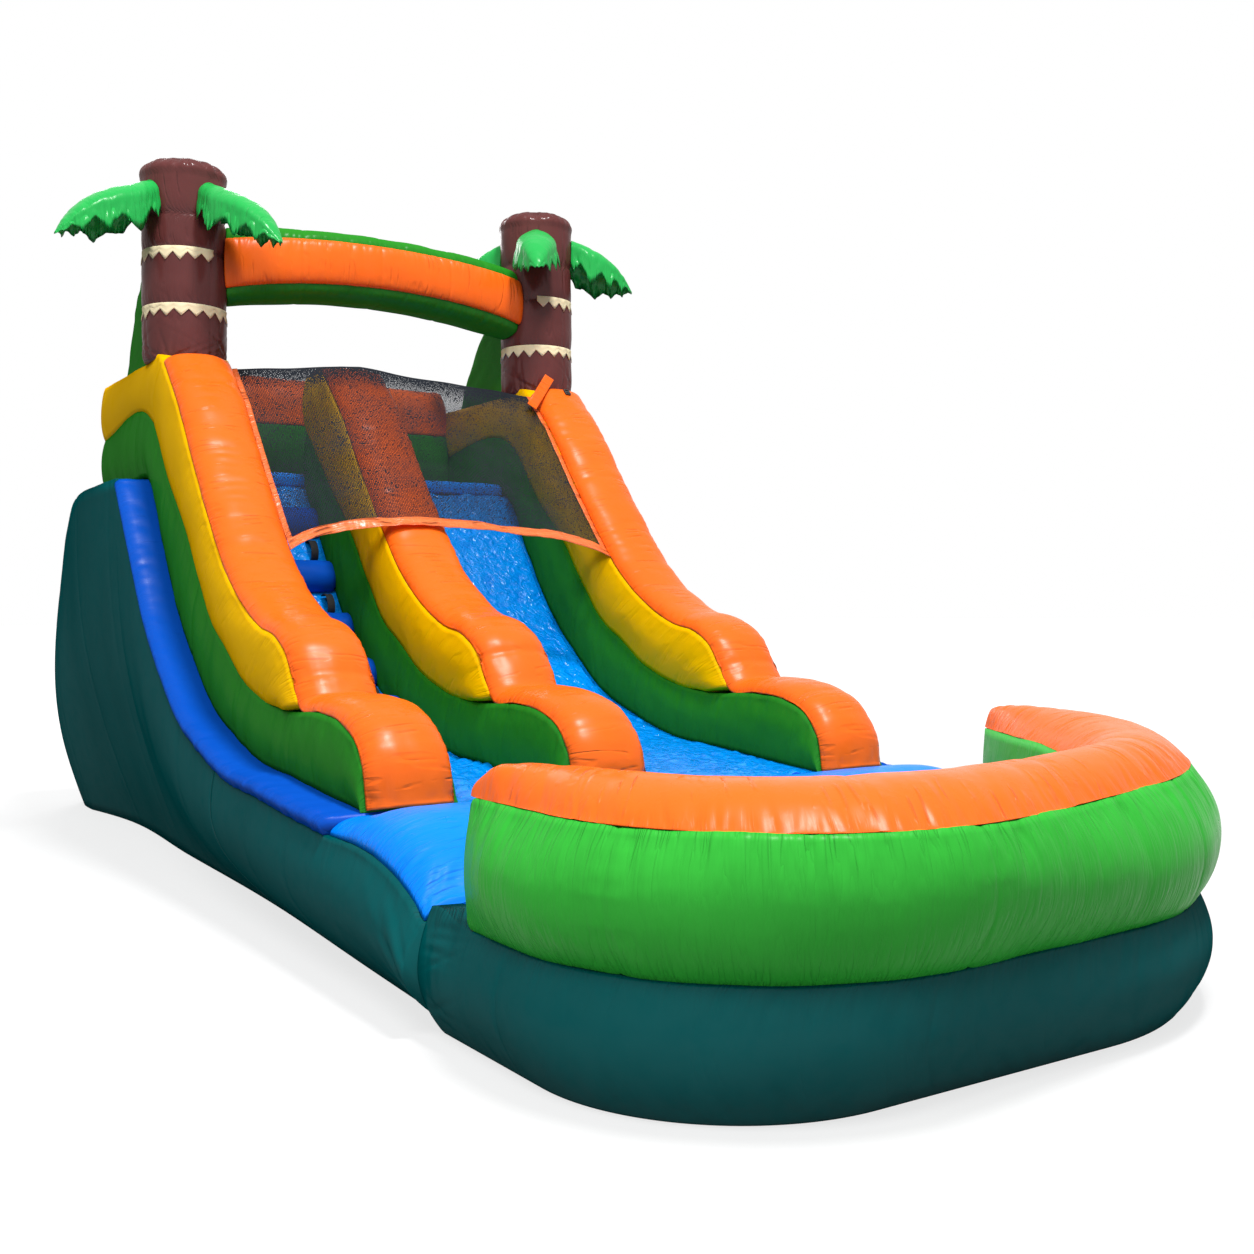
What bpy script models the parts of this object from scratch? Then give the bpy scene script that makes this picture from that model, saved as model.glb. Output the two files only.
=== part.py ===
"""Inflatable water slide: climbing lane, slide lane, palm-tree arch and splash pool."""

import math

import bmesh
import bpy
from mathutils import Matrix, Vector

# Driving dimensions in metres. X runs across the lanes, Y to the back and Z up.
# The origin lies on the ground, midway between the two palm trunks.
clearance = 0.0003
overrun = 0.05
weld_distance = 0.00005

slide_length = 3.46
rail_height = 3.20
rail_width = 0.426
rail_offset = 1.315
middle_rail_x = -0.26
crown_height = 0.09
box_round = 0.15
cap_start_y = -0.285
middle_back_y = 0.05
box_back_y = 1.35
band_bottom = 2.82
deck_thickness = 0.08
deck_back_y = 1.00

bed_thickness = 0.08
liner_thickness = 0.004
liner_margin = 0.02
base_half_width = 1.72
side_bulge = 0.15
tower_split_y = -1.90
junction_y = -4.70
tower_back_y = 3.36

trunk_radius = 0.268
trunk_top_left = 4.51
trunk_top_right = 4.57
dome_height = 0.145
trunk_steps = 24
band_height = 0.04
tooth_height = 0.055
band_thickness = 0.005

back_wall_y = 1.05
back_wall_depth = 0.35
back_wall_top = 3.00
back_cap_top = 3.38
wall_bulge = 0.03
wing_width = 0.30
wing_top = 3.90

arch_half_depth = 0.20
arch_face_depth = 0.05
arch_end_bottom = 3.69
arch_face_height = 0.34
arch_middle_height = 0.29
arch_rise = 0.17
arch_lip = 0.05
arch_belly = 0.14

net_top_run = 0.03
net_length = 1.38
net_thickness = 0.003
net_columns = 15
net_rows = 9
strand_width = 0.012
side_hem = 0.03
bottom_hem = 0.055
net_flare_share = 0.09
net_flare_power = 6
net_lift = 0.008

step_count = 5
step_pitch = 0.46
step_start = 0.35
step_height = 0.12
step_length = 0.24
handle_count = 4
handle_width = 0.05
handle_length = 0.16
handle_height = 0.07
handle_inset = 0.0867
webbing = 0.004

pool_half_width = 1.70
pool_front_y = -6.24
groove_z = 0.45
rim_seam_z = 0.92
arm_rise = 0.055
rim_crown = 0.13
pool_bulge = 0.10
base_bulge = 0.085
left_tip_y = -4.72
right_tip_y = -4.20
floor_thickness = 0.05
cushion_half_width = 1.70
arm_margin = 0.016

sleeve_radius = 0.15
sleeve_wall = 0.004
sleeve_length = 0.35
sleeve_z = 0.30
sleeve_x = 0.55
sleeve_steps = 24

zip_length = 0.60
zip_width = 0.05
zip_thickness = 0.003
zip_chain = 0.004
zip_z = 0.45
zip_x = -0.70
slider_length = 0.022
slider_half_height = 0.011
slider_depth = 0.010
slider_clearance = 0.0008
flap_length = 0.68
flap_height = 0.12
flap_thickness = 0.003
flap_stand_off = 0.017
flap_rise = 0.05

wire_radius = 0.004
ring_height = 0.050
ring_side_play = 0.003
eye_clearance = 0.0008
tab_width = 0.05
tab_length = 0.12
anchor_x = 0.95
anchor_z = 0.20
side_anchor_y = -3.20

strap_width = 0.05
strap_x = 1.205
strap_start = 0.24
strap_rise = 0.12
buckle_length = 0.06
buckle_width = 0.045
buckle_thickness = 0.012
buckle_slot = 0.010
buckle_x = 1.36
buckle_run = 0.035

# Shares of slide_length (towards the front) and of rail_height (upwards).
seam_shares = [
    (0.082, 0.985), (0.159, 0.903), (0.257, 0.772), (0.344, 0.662), (0.422, 0.575),
    (0.523, 0.503), (0.601, 0.469), (0.662, 0.456), (0.705, 0.431), (0.734, 0.391),
    (0.766, 0.347), (0.835, 0.346), (0.910, 0.338), (0.960, 0.316), (0.988, 0.281),
    (1.000, 0.222),
]
tip_index = 10
band_shares = [
    (0.000, 0.881), (0.113, 0.747), (0.202, 0.662), (0.280, 0.566), (0.361, 0.475),
    (0.425, 0.4375), (0.506, 0.3875), (0.610, 0.353), (0.708, 0.341),
]
bed_shares = [
    (-0.029, 0.766), (0.069, 0.625), (0.173, 0.484), (0.272, 0.394), (0.379, 0.319),
    (0.454, 0.291), (0.607, 0.250), (0.731, 0.241), (0.838, 0.231), (1.000, 0.219),
]


def clear_scene():
    for item in list(bpy.data.objects):
        bpy.data.objects.remove(item, do_unlink=True)


clear_scene()
slide_parts = bpy.data.collections.new("water_slide")
cutter_parts = bpy.data.collections.new("cutters")
bpy.context.scene.collection.children.link(slide_parts)
bpy.context.scene.collection.children.link(cutter_parts)


def material(name, colour, roughness=0.4, metallic=0.0):
    made = bpy.data.materials.new(name)
    made.use_nodes = True
    shader = made.node_tree.nodes["Principled BSDF"]
    shader.inputs["Base Color"].default_value = (*colour, 1.0)
    shader.inputs["Roughness"].default_value = roughness
    shader.inputs["Metallic"].default_value = metallic
    return made


orange_vinyl = material("orange_vinyl", (1.0, 0.16, 0.012), 0.35)
yellow_vinyl = material("yellow_vinyl", (0.95, 0.50, 0.0), 0.35)
green_vinyl = material("green_vinyl", (0.015, 0.22, 0.04), 0.35)
lime_vinyl = material("lime_vinyl", (0.05, 0.45, 0.05), 0.35)
teal_vinyl = material("teal_vinyl", (0.0, 0.11, 0.10), 0.40)
blue_vinyl = material("blue_vinyl", (0.0, 0.08, 0.50), 0.35)
bright_vinyl = material("bright_vinyl", (0.0, 0.26, 1.0), 0.22)
brown_vinyl = material("brown_vinyl", (0.11, 0.03, 0.03), 0.40)
cream_vinyl = material("cream_vinyl", (0.85, 0.70, 0.45), 0.45)
frond_vinyl = material("frond_vinyl", (0.01, 0.42, 0.08), 0.35)
black_mesh = material("black_mesh", (0.01, 0.01, 0.012), 0.70)
black_webbing = material("black_webbing", (0.01, 0.01, 0.01), 0.80)
zinc = material("zinc", (0.60, 0.60, 0.62), 0.30, 1.0)


def polyline(shares):
    return [(-slide_length * run, rail_height * rise) for run, rise in shares]


seam_line = polyline(seam_shares)
band_line = polyline(band_shares)
bed_line = polyline(bed_shares)
bed_back_y = bed_line[0][0]
bed_front_y = bed_line[-1][0]
deck_base = bed_line[0][1]


def height_at(line, y):
    """Height of a line of (y, z) points, straight between them and level past its ends."""
    ordered = sorted(line)
    if y <= ordered[0][0]:
        return ordered[0][1]
    for (y0, z0), (y1, z1) in zip(ordered, ordered[1:]):
        if y <= y1:
            return z0 + (z1 - z0) * (y - y0) / (y1 - y0)
    return ordered[-1][1]


def stretch(line, low, high, lift=0.0):
    """The line's points from y=low to y=high, ends included, raised by lift."""
    inner = [y for y, _ in line if low < y < high]
    places = sorted([low, high, *inner])
    return [(y, height_at(line, y) + lift) for y in places]


def link(name, mesh, finish, smooth=True):
    item = bpy.data.objects.new(name, mesh)
    item.data.materials.append(finish)
    slide_parts.objects.link(item)
    if smooth and item.type == "MESH":
        mesh.shade_smooth()
        mesh.set_sharp_from_angle(angle=math.radians(40))
    return item


def outline_solid(name, points, centre_x, width, finish, origin=(0.0, 0.0)):
    """A side outline of (y, z) points, extruded evenly about centre_x, with its origin at that (y, z)."""
    curve = bpy.data.curves.new(name, "CURVE")
    curve.dimensions = "2D"
    curve.fill_mode = "BOTH"
    curve.extrude = width / 2
    spline = curve.splines.new("POLY")
    spline.points.add(len(points) - 1)
    for point, (y, z) in zip(spline.points, points):
        point.co = (y - origin[0], z - origin[1], 0, 1)
    spline.use_cyclic_u = True
    item = link(name, curve, finish)
    middle_y, middle_z = origin
    item.matrix_world = Matrix(((0, 0, 1, centre_x), (1, 0, 0, middle_y), (0, 1, 0, middle_z), (0, 0, 0, 1)))
    return item


def plan_solid(name, points, bottom, thickness, finish):
    """A plan outline of (x, y) points, extruded upwards from bottom."""
    curve = bpy.data.curves.new(name, "CURVE")
    curve.dimensions = "2D"
    curve.fill_mode = "BOTH"
    curve.extrude = thickness / 2
    spline = curve.splines.new("POLY")
    spline.points.add(len(points) - 1)
    for point, (x, y) in zip(spline.points, points):
        point.co = (x, y, 0, 1)
    spline.use_cyclic_u = True
    item = link(name, curve, finish)
    item.location.z = bottom + thickness / 2
    return item


def loft(name, rings, finish, closed=False):
    """A solid through rings that have equally many points each; an open one gets end caps."""
    bm = bmesh.new()
    made = [[bm.verts.new(point) for point in ring] for ring in rings]
    pairs = list(zip(made, made[1:]))
    if closed:
        pairs.append((made[-1], made[0]))
    for first, second in pairs:
        for i in range(len(first)):
            j = (i + 1) % len(first)
            bm.faces.new((first[i], first[j], second[j], second[i]))
    if not closed:
        bm.faces.new(made[0][::-1])
        bm.faces.new(made[-1])
    bmesh.ops.recalc_face_normals(bm, faces=bm.faces)
    mesh = bpy.data.meshes.new(name)
    bm.to_mesh(mesh)
    bm.free()
    return link(name, mesh, finish)


def turned(name, profile, steps, finish, centre):
    """A profile of (radius, height) points, top to bottom, turned about a vertical axis."""
    mesh = bpy.data.meshes.new(name)
    edges = [(i, i + 1) for i in range(len(profile) - 1)]
    mesh.from_pydata([(radius, 0, z) for radius, z in profile], edges, [])
    item = link(name, mesh, finish, smooth=False)
    item.location = centre
    screw = item.modifiers.new("turn", "SCREW")
    screw.steps = steps
    screw.render_steps = steps
    screw.use_merge_vertices = True
    screw.merge_threshold = weld_distance
    return item


def cylinder_cutter(name, radius, low, high, centre):
    bm = bmesh.new()
    bmesh.ops.create_cone(
        bm, cap_ends=True, segments=trunk_steps, radius1=radius, radius2=radius, depth=high - low
    )
    mesh = bpy.data.meshes.new(name)
    bm.to_mesh(mesh)
    bm.free()
    item = bpy.data.objects.new(name, mesh)
    item.location = (centre[0], centre[1], (low + high) / 2)
    item.hide_render = True
    item.display_type = "WIRE"
    cutter_parts.objects.link(item)
    return item


def cut(item, cutter):
    boolean = item.modifiers.new("cut_" + cutter.name, "BOOLEAN")
    boolean.operation = "DIFFERENCE"
    boolean.solver = "EXACT"
    boolean.object = cutter


# Base chambers under the slope

# Shares of the way up the side, from the ground to the seam.
side_rise_shares = [0.0, 0.08, 0.25, 0.50, 0.75, 1.0]


def base_ring(y, top, foot, seam, bulge):
    half = []
    for rise in side_rise_shares:
        half.append((foot + (seam - foot) * rise + bulge * math.sin(math.pi * rise), top * rise))
    right = [(x, y, z) for x, z in half]
    left = [(-x, y, z) for x, z in reversed(half)]
    return right + left


# The base on the ground, from the pool to the back: share of slide_length, and of the seam's half width.
foot_shares = [
    (-1.358, 0.919), (-0.983, 0.866), (-0.549, 0.802), (0.0, 0.762), (0.520, 0.727), (0.971, 0.855),
]
foot_line = [(slide_length * run, base_half_width * width) for run, width in foot_shares]
tail_pinch_share = 0.10


def side_ring(y, top):
    return base_ring(y, top, height_at(foot_line, y), base_half_width, side_bulge)


# Places behind the platform: share of the way to the back, share of the deck's height,
# and share of the seam's half width.
tail_shares = [
    (0.20, 1.000, 1.00), (0.45, 0.985, 0.98), (0.62, 0.930, 0.94), (0.74, 0.860, 0.91),
    (0.84, 0.770, 0.87), (0.92, 0.650, 0.81), (0.97, 0.520, 0.74), (1.00, 0.400, 0.65),
]


def tower_base():
    rings = []
    for y, z in stretch(bed_line, tower_split_y, bed_back_y - clearance, -bed_thickness):
        rings.append(side_ring(y, z))
    rings.append(side_ring(bed_back_y, deck_base))
    for run, rise, width in tail_shares:
        y = tower_back_y * run
        foot = height_at(foot_line, y) * min(1.0, width + tail_pinch_share)
        rings.append(base_ring(y, deck_base * rise, foot, base_half_width * width, side_bulge))
    return loft("tower_base", rings, teal_vinyl)


# Heights of the run-out in front of the rails: share of the way from the rails' ends
# to the pool's base, share of the bed's front height for the cushion's underside and top.
runout_shares = [
    (0.00, 0.886, 0.989), (0.11, 0.886, 0.995), (0.28, 0.870, 1.060), (0.48, 0.820, 1.030),
    (0.68, 0.740, 0.920), (0.84, 0.640, 0.770), (0.97, 0.540, 0.640),
]


def runout_lines():
    front = bed_line[-1][1]
    reach = bed_front_y - junction_y
    under = [(bed_front_y - reach * run, front * low) for run, low, _ in runout_shares]
    over = [(bed_front_y - reach * run, front * high) for run, _, high in runout_shares]
    return under, over


cushion_under, cushion_over = runout_lines()


def front_base():
    rings = []
    ends = stretch(bed_line, bed_front_y, tower_split_y - clearance, -bed_thickness)
    for y, z in [*reversed(ends), *cushion_under[1:]]:
        rings.append(side_ring(y, z))
    rings.append(side_ring(junction_y + clearance, cushion_under[-1][1]))
    return loft("front_base", rings, teal_vinyl)


# Shares of the base's half width and of the bed's thickness, for the bed's rounded outer edge.
bed_edge_shares = [(1.0, 0.0), (1.012, 0.5), (0.995, 0.9), (0.97, 1.0)]


def slide_bed():
    rings = []
    for y, z in stretch(bed_line, bed_front_y, bed_back_y - 2 * clearance):
        bottom = z - bed_thickness + clearance
        depth = bed_thickness - clearance
        half = [(base_half_width * out, bottom + depth * up) for out, up in bed_edge_shares]
        rings.append([(x, y, h) for x, h in half] + [(-x, y, h) for x, h in reversed(half)])
    return loft("slide_bed", rings, blue_vinyl)


def resample(points, count):
    """Equally spaced points along a line."""
    places = [0.0]
    for a, b in zip(points, points[1:]):
        places.append(places[-1] + math.dist(a, b))
    made = []
    for i in range(count):
        goal = places[-1] * i / (count - 1)
        j = next(k for k in range(1, len(places)) if places[k] >= goal - clearance)
        share = (goal - places[j - 1]) / (places[j] - places[j - 1])
        made.append(tuple(p + (q - p) * share for p, q in zip(points[j - 1], points[j])))
    return made


# Pool

pool_stations = 31
corner_steps = 8
arm_start_share = 0.45
arm_ramp_share = 0.35
# The wall's inner line: shares of the half width, and of the way from the tips to the front.
inner_shares = [
    (-0.765, 0.11), (-0.680, 0.32), (-0.560, 0.50), (-0.350, 0.575), (0.0, 0.595),
    (0.270, 0.56), (0.440, 0.45), (0.610, 0.21), (0.765, -0.08),
]


# The pool's two front corners in plan, left and right: centre x, radius and distance from the front,
# as shares of its half width. The wall's seam under the rim, its foot, and the base on the ground.
seam_corner_shares = ((-0.400, 0.576, 0.012), (0.088, 0.906, 0.118))
groove_corner_shares = ((-0.406, 0.582, 0.076), (0.088, 0.906, 0.100))
contact_corner_shares = ((-0.506, 0.453, 0.171), (0.171, 0.759, 0.171))
# Where the wall's ends meet the run-out, across.
tip_shares = (-0.953, 0.912)


def pool_outline(corner_shares, left_y, right_y):
    """The pool's U in plan, from its left end round both corners to its right end."""
    corners = []
    for across, round_share, inset in corner_shares:
        radius = pool_half_width * round_share
        corners.append((pool_half_width * across, pool_front_y + pool_half_width * inset + radius, radius))
    (left_x, low_y, small), (right_x, high_y, large) = corners
    gap = Vector((right_x - left_x, high_y - low_y))
    lean = math.atan2(gap.y, gap.x) + math.asin((small - large) / gap.length)
    turn = 1.5 * math.pi + lean
    last = 2 * math.pi + min(0.0, math.asin((right_y - high_y) / large))
    points = [(left_x - small, left_y)]
    for (x, y, radius), start, end in ((corners[0], math.pi, turn), (corners[1], turn, last)):
        for i in range(corner_steps + 1):
            angle = start + (end - start) * i / corner_steps
            points.append((x + radius * math.cos(angle), y + radius * math.sin(angle)))
    if right_y > high_y:
        points.append((right_x + large, right_y))
    return points


def wall_lines(corner_shares):
    outer = resample(pool_outline(corner_shares, left_tip_y, right_tip_y), pool_stations)
    reach = left_tip_y - pool_front_y
    middle = [(pool_half_width * x, left_tip_y - reach * y) for x, y in inner_shares]
    left_tip, right_tip = (pool_half_width * share for share in tip_shares)
    inner = resample([(left_tip, left_tip_y), *middle, (right_tip, right_tip_y)], pool_stations)
    return outer, inner


def pushed(points, amount):
    """The outline moved outwards, square to itself."""
    made = []
    for i, (x, y) in enumerate(points):
        ahead = points[min(i + 1, len(points) - 1)]
        behind = points[max(i - 1, 0)]
        along = Vector((ahead[0] - behind[0], ahead[1] - behind[1])).normalized()
        made.append((x - along.y * -amount, y - along.x * amount))
    return made


# Shares of the base's height and of its bulge.
base_levels = [(0.0, 0.0), (0.16, 0.45), (0.34, 0.85), (0.54, 1.0), (0.74, 0.80), (0.90, 0.40), (1.0, 0.0)]


def pool_base():
    back_y = junction_y - clearance
    rings = []
    contact = pool_outline(contact_corner_shares, back_y, back_y)
    groove = pool_outline(groove_corner_shares, back_y, back_y)
    for rise, out in base_levels:
        line = [Vector(low).lerp(Vector(high), rise) for low, high in zip(contact, groove)]
        line = pushed(line, base_bulge * out)
        line[0] = (line[0][0], back_y)
        line[-1] = (line[-1][0], back_y)
        rings.append([(x, y, groove_z * rise) for x, y in line])
    return loft("pool_base", rings, teal_vinyl)


def wall_foot(places):
    """Height that the pool wall stands on: the pool's base, or the run-out beside it."""
    furthest = max(places)
    under = height_at(cushion_under, furthest) if furthest > junction_y - overrun else 0.0
    return max(groove_z, under) + clearance


def rim_seam_at(station):
    """Height of the rim's seam: level, then higher along the right arm."""
    share = (station / (pool_stations - 1) - arm_start_share) / arm_ramp_share
    return rim_seam_z + arm_rise * min(1.0, max(0.0, share))


# Shares of the wall's height and of its bulge.
wall_levels = [(0.0, 0.0), (0.12, 0.45), (0.30, 0.85), (0.50, 1.0), (0.70, 0.85), (0.88, 0.45), (1.0, 0.0)]


def pool_wall():
    grooved, inner = wall_lines(groove_corner_shares)
    seamed, _ = wall_lines(seam_corner_shares)
    rounded = pushed(seamed, pool_bulge)
    rings = []
    last = len(inner) - 1
    for i, (low, round_point, high, back) in enumerate(zip(grooved, rounded, seamed, inner)):
        nearby = slice(max(0, i - 1), i + 2)
        foot = wall_foot([y for _, y in grooved[nearby] + inner[nearby]])
        seam_z = rim_seam_at(i)
        bulge = Vector(round_point) - Vector(high) if 0 < i < last else Vector((0, 0))
        ring = []
        for rise, out in wall_levels:
            place = Vector(low).lerp(Vector(high), rise) + bulge * out
            ring.append((*place, foot + (seam_z - foot) * rise))
        ring += [(*back, seam_z), (*back, (foot + seam_z) / 2), (*back, foot)]
        rings.append(ring)
    return loft("pool_wall", rings, lime_vinyl)


# Shares of the rim's width and of its crown.
rim_shares = [(0.0, 0.0), (0.08, 0.55), (0.25, 0.9), (0.5, 1.0), (0.75, 0.9), (0.92, 0.55), (1.0, 0.0)]
rim_crown_share = 0.5


def pool_rim():
    outer, inner = wall_lines(seam_corner_shares)
    rings = []
    for i, (a, b) in enumerate(zip(outer, inner)):
        crown = min(rim_crown, math.dist(a, b) * rim_crown_share)
        foot = rim_seam_at(i) + clearance
        ring = []
        # From the inner edge to the outer one, so that its underside folds as the wall's top does.
        for across, up in rim_shares:
            ring.append((*Vector(b).lerp(Vector(a), across), foot + crown * up))
        rings.append(ring)
    return loft("pool_rim", rings, orange_vinyl)


floor_inset_share = 0.985


def pool_floor():
    _, inner = wall_lines(seam_corner_shares)
    back_y = junction_y - overrun
    points = [(x * floor_inset_share, y * floor_inset_share) for x, y in inner if y < back_y]
    middle = sum(y for _, y in points) / len(points)
    points = [(x, y if y < middle else min(y, back_y)) for x, y in points]
    return plan_solid("pool_floor", points, groove_z + clearance, floor_thickness, bright_vinyl)


def right_limit(y):
    """How far right the run-out cushion reaches beside the pool wall's right arm."""
    if y >= right_tip_y + overrun:
        return cushion_half_width
    _, inner = wall_lines(seam_corner_shares)
    arm = [(b, a) for a, b in inner[pool_stations // 2 :]]
    return height_at(arm, min(y, right_tip_y)) - arm_margin


cushion_edge_share = 0.45
cushion_inset_share = 0.80


def exit_cushion():
    under = [(y, z + clearance) for y, z in cushion_under]
    places = [y for y, _ in cushion_over[1:]]
    places += [bed_front_y - clearance, right_tip_y + overrun, right_tip_y + clearance]
    rings = []
    for y in sorted(places, reverse=True):
        low = height_at(under, y)
        high = height_at(cushion_over, y)
        edge = low + (high - low) * cushion_edge_share
        inset = (high - low) * cushion_inset_share
        left = -cushion_half_width
        right = right_limit(y)
        rings.append(
            [
                (left, y, low), (left, y, edge), (left + inset, y, high),
                (right - inset, y, high), (right, y, edge), (right, y, low),
            ]
        )
    return loft("exit_cushion", rings, bright_vinyl)


# Rails

# Shares of the rail's half width and of its crown.
cap_shares = [(-1.0, 0.0), (-0.92, 0.45), (-0.60, 0.84), (0.0, 1.0), (0.60, 0.84), (0.92, 0.45), (1.0, 0.0)]


def crown_at(across):
    """Height of a rail's crown over its seam, that far from the rail's middle."""
    return crown_height * height_at(cap_shares, across / (rail_width / 2))


def along_line(line, i):
    ahead = line[min(i + 1, len(line) - 1)]
    behind = line[max(i - 1, 0)]
    return Vector((ahead[0] - behind[0], ahead[1] - behind[1])).normalized()


def rail_cap(side, centre_x, back_y):
    line = list(seam_line)
    if back_y > cap_start_y:
        line = [(back_y, rail_height), (cap_start_y + overrun, rail_height), *line]
    rings = []
    for i, (y, z) in enumerate(line):
        along = along_line(line, i)
        normal = Vector((along.y, -along.x))
        ring = []
        for across, up in cap_shares:
            lift = clearance + crown_height * up
            ring.append((centre_x + rail_width / 2 * across, y + normal.x * lift, z + normal.y * lift))
        rings.append(ring)
    return loft("rail_cap_" + side, rings, orange_vinyl)


# Shares of the box's rounding at its upper back edge: inwards and down.
box_round_shares = [(0.0, 1.0), (0.3, 0.3), (1.0, 0.0)]


def rail_band(side, centre_x, back_y):
    back = [(back_y, band_bottom), (back_y, rail_height), (cap_start_y + overrun, rail_height)]
    if back_y > middle_back_y:
        rounding = [(back_y - box_round * x, rail_height - box_round * z) for x, z in box_round_shares]
        back[1:2] = rounding
    top = seam_line[: tip_index + 1]
    points = [*back, *top, *reversed(band_line)]
    return outline_solid("rail_band_" + side, points, centre_x, rail_width, yellow_vinyl)


def rail_wall(side, centre_x, back_y):
    top = [(y, z - clearance) for y, z in band_line]
    front = [(y, z - clearance) for y, z in seam_line[tip_index:-1]]
    foot = stretch(bed_line, bed_front_y, min(back_y, bed_back_y), clearance)
    points = [(back_y, band_bottom - clearance), *top, *front, *foot]
    if back_y > bed_back_y:
        points.append((back_y, deck_base + clearance))
    return outline_solid("rail_wall_" + side, points, centre_x, rail_width, green_vinyl)


def rails():
    for side, centre_x, back_y in (
        ("left", -rail_offset, box_back_y),
        ("middle", middle_rail_x, middle_back_y),
        ("right", rail_offset, box_back_y),
    ):
        rail_cap(side, centre_x, back_y if side == "middle" else cap_start_y)
        rail_band(side, centre_x, back_y)
        rail_wall(side, centre_x, back_y)


lane_edge = rail_offset - rail_width / 2


def slide_liner():
    low_x = middle_rail_x + rail_width / 2 + liner_margin
    high_x = lane_edge - liner_margin
    under = stretch(bed_line, bed_front_y + liner_margin, bed_back_y - liner_margin, clearance)
    over = [(y, z + liner_thickness) for y, z in under]
    points = [*under, *reversed(over)]
    return outline_solid("slide_liner", points, (low_x + high_x) / 2, high_x - low_x, bright_vinyl)


def platform_deck():
    front = bed_back_y + 3 * clearance
    low = deck_base + clearance
    high = deck_base + deck_thickness
    points = [(front, low), (deck_back_y, low), (deck_back_y, high), (front, high)]
    return outline_solid("platform_deck", points, 0, 2 * (lane_edge - clearance), bright_vinyl)


def back_wall():
    front = back_wall_y
    back = back_wall_y + back_wall_depth
    low = deck_base + clearance
    middle = (low + back_wall_top) / 2
    points = [
        (front, low), (back, low), (back + wall_bulge, middle), (back, back_wall_top),
        (front, back_wall_top), (front - wall_bulge, middle),
    ]
    return outline_solid("back_wall", points, 0, 2 * (lane_edge - clearance), green_vinyl)


round_steps = 8


def back_wall_cap():
    low = back_wall_top + clearance
    half_depth = back_wall_depth / 2
    rise = back_cap_top - low
    points = []
    for i in range(round_steps + 1):
        angle = math.pi * i / round_steps
        points.append((back_wall_y + half_depth + half_depth * math.cos(angle), low + rise * math.sin(angle)))
    return outline_solid("back_wall_cap", points, 0, 2 * (lane_edge - clearance), orange_vinyl)


# Shares of the way back from the trunk's centre to the box's back, and of the wing's height.
wing_shares = [(0.0, 1.0), (0.28, 1.0), (0.45, 0.90), (0.63, 0.63), (0.78, 0.28), (0.88, 0.0), (0.0, 0.0)]


def wing(side, centre_x, cutter):
    foot = rail_height + clearance
    points = [(box_back_y * back, foot + (wing_top - foot) * up) for back, up in reversed(wing_shares)]
    solid = outline_solid("wing_" + side, points, centre_x, wing_width, green_vinyl)
    return cut_solid(solid, cutter)


def cut_solid(item, cutter):
    """Makes a curve a mesh, and cuts it."""
    graph = bpy.context.evaluated_depsgraph_get()
    mesh = bpy.data.meshes.new_from_object(item.evaluated_get(graph))
    bm = bmesh.new()
    bm.from_mesh(mesh)
    bmesh.ops.remove_doubles(bm, verts=bm.verts, dist=weld_distance)
    bmesh.ops.recalc_face_normals(bm, faces=bm.faces)
    bm.to_mesh(mesh)
    bm.free()
    name = item.name
    place = item.matrix_world.copy()
    bpy.data.objects.remove(item, do_unlink=True)
    solid = bpy.data.objects.new(name, mesh)
    solid.matrix_world = place
    slide_parts.objects.link(solid)
    cut(solid, cutter)
    return solid


# Palm trunks

# Shares of the dome's radius and of its height, for its rounded top.
dome_shares = [(0.0, 1.0), (0.45, 0.97), (0.77, 0.86), (0.96, 0.64), (1.03, 0.36), (1.02, 0.10)]
lower_band_top = 3.55
upper_band_top = 3.91
band_angle = math.radians(62)
teeth = 12


def trunk(side, centre_x, top):
    dome_start = top - dome_height
    dome = [(trunk_radius * out, dome_start + dome_height * up) for out, up in dome_shares]
    foot = rail_height + clearance
    profile = [*dome, (trunk_radius, dome_start), (trunk_radius, foot), (0.0, foot)]
    return turned("trunk_" + side, profile, trunk_steps, brown_vinyl, (centre_x, 0, 0))


def trunk_band(name, centre_x, top, opening):
    """A ring round a trunk with a row of teeth below; opening faces the arch."""
    inner = trunk_radius + clearance
    outer = inner + band_thickness
    count = 2 * teeth
    rings = []
    for i in range(count):
        angle = 2 * math.pi * i / count
        away = (angle - opening[0] + math.pi) % (2 * math.pi) - math.pi if opening else math.pi
        if opening and abs(away) < opening[1]:
            continue
        low = top - band_height - (tooth_height if i % 2 else 0.0)
        x, y = math.cos(angle), math.sin(angle)
        rings.append(
            (
                away,
                [
                    (centre_x + inner * x, inner * y, top), (centre_x + outer * x, outer * y, top),
                    (centre_x + outer * x, outer * y, low), (centre_x + inner * x, inner * y, low),
                ],
            )
        )
    if opening:
        rings.sort(key=lambda pair: pair[0] % (2 * math.pi))
    return loft(name, [ring for _, ring in rings], cream_vinyl, closed=not opening)


# Fronds: shares of the frond's length out and up, then of its half width and its depth.
frond_shares = [
    (0.00, 0.00, 0.55, 0.80), (0.14, -0.07, 0.80, 1.00), (0.30, -0.14, 1.00, 1.00),
    (0.46, -0.19, 0.95, 0.90), (0.62, -0.25, 0.80, 0.75), (0.77, -0.33, 0.60, 0.55),
    (0.90, -0.44, 0.36, 0.34), (1.00, -0.55, 0.08, 0.10),
]
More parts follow.
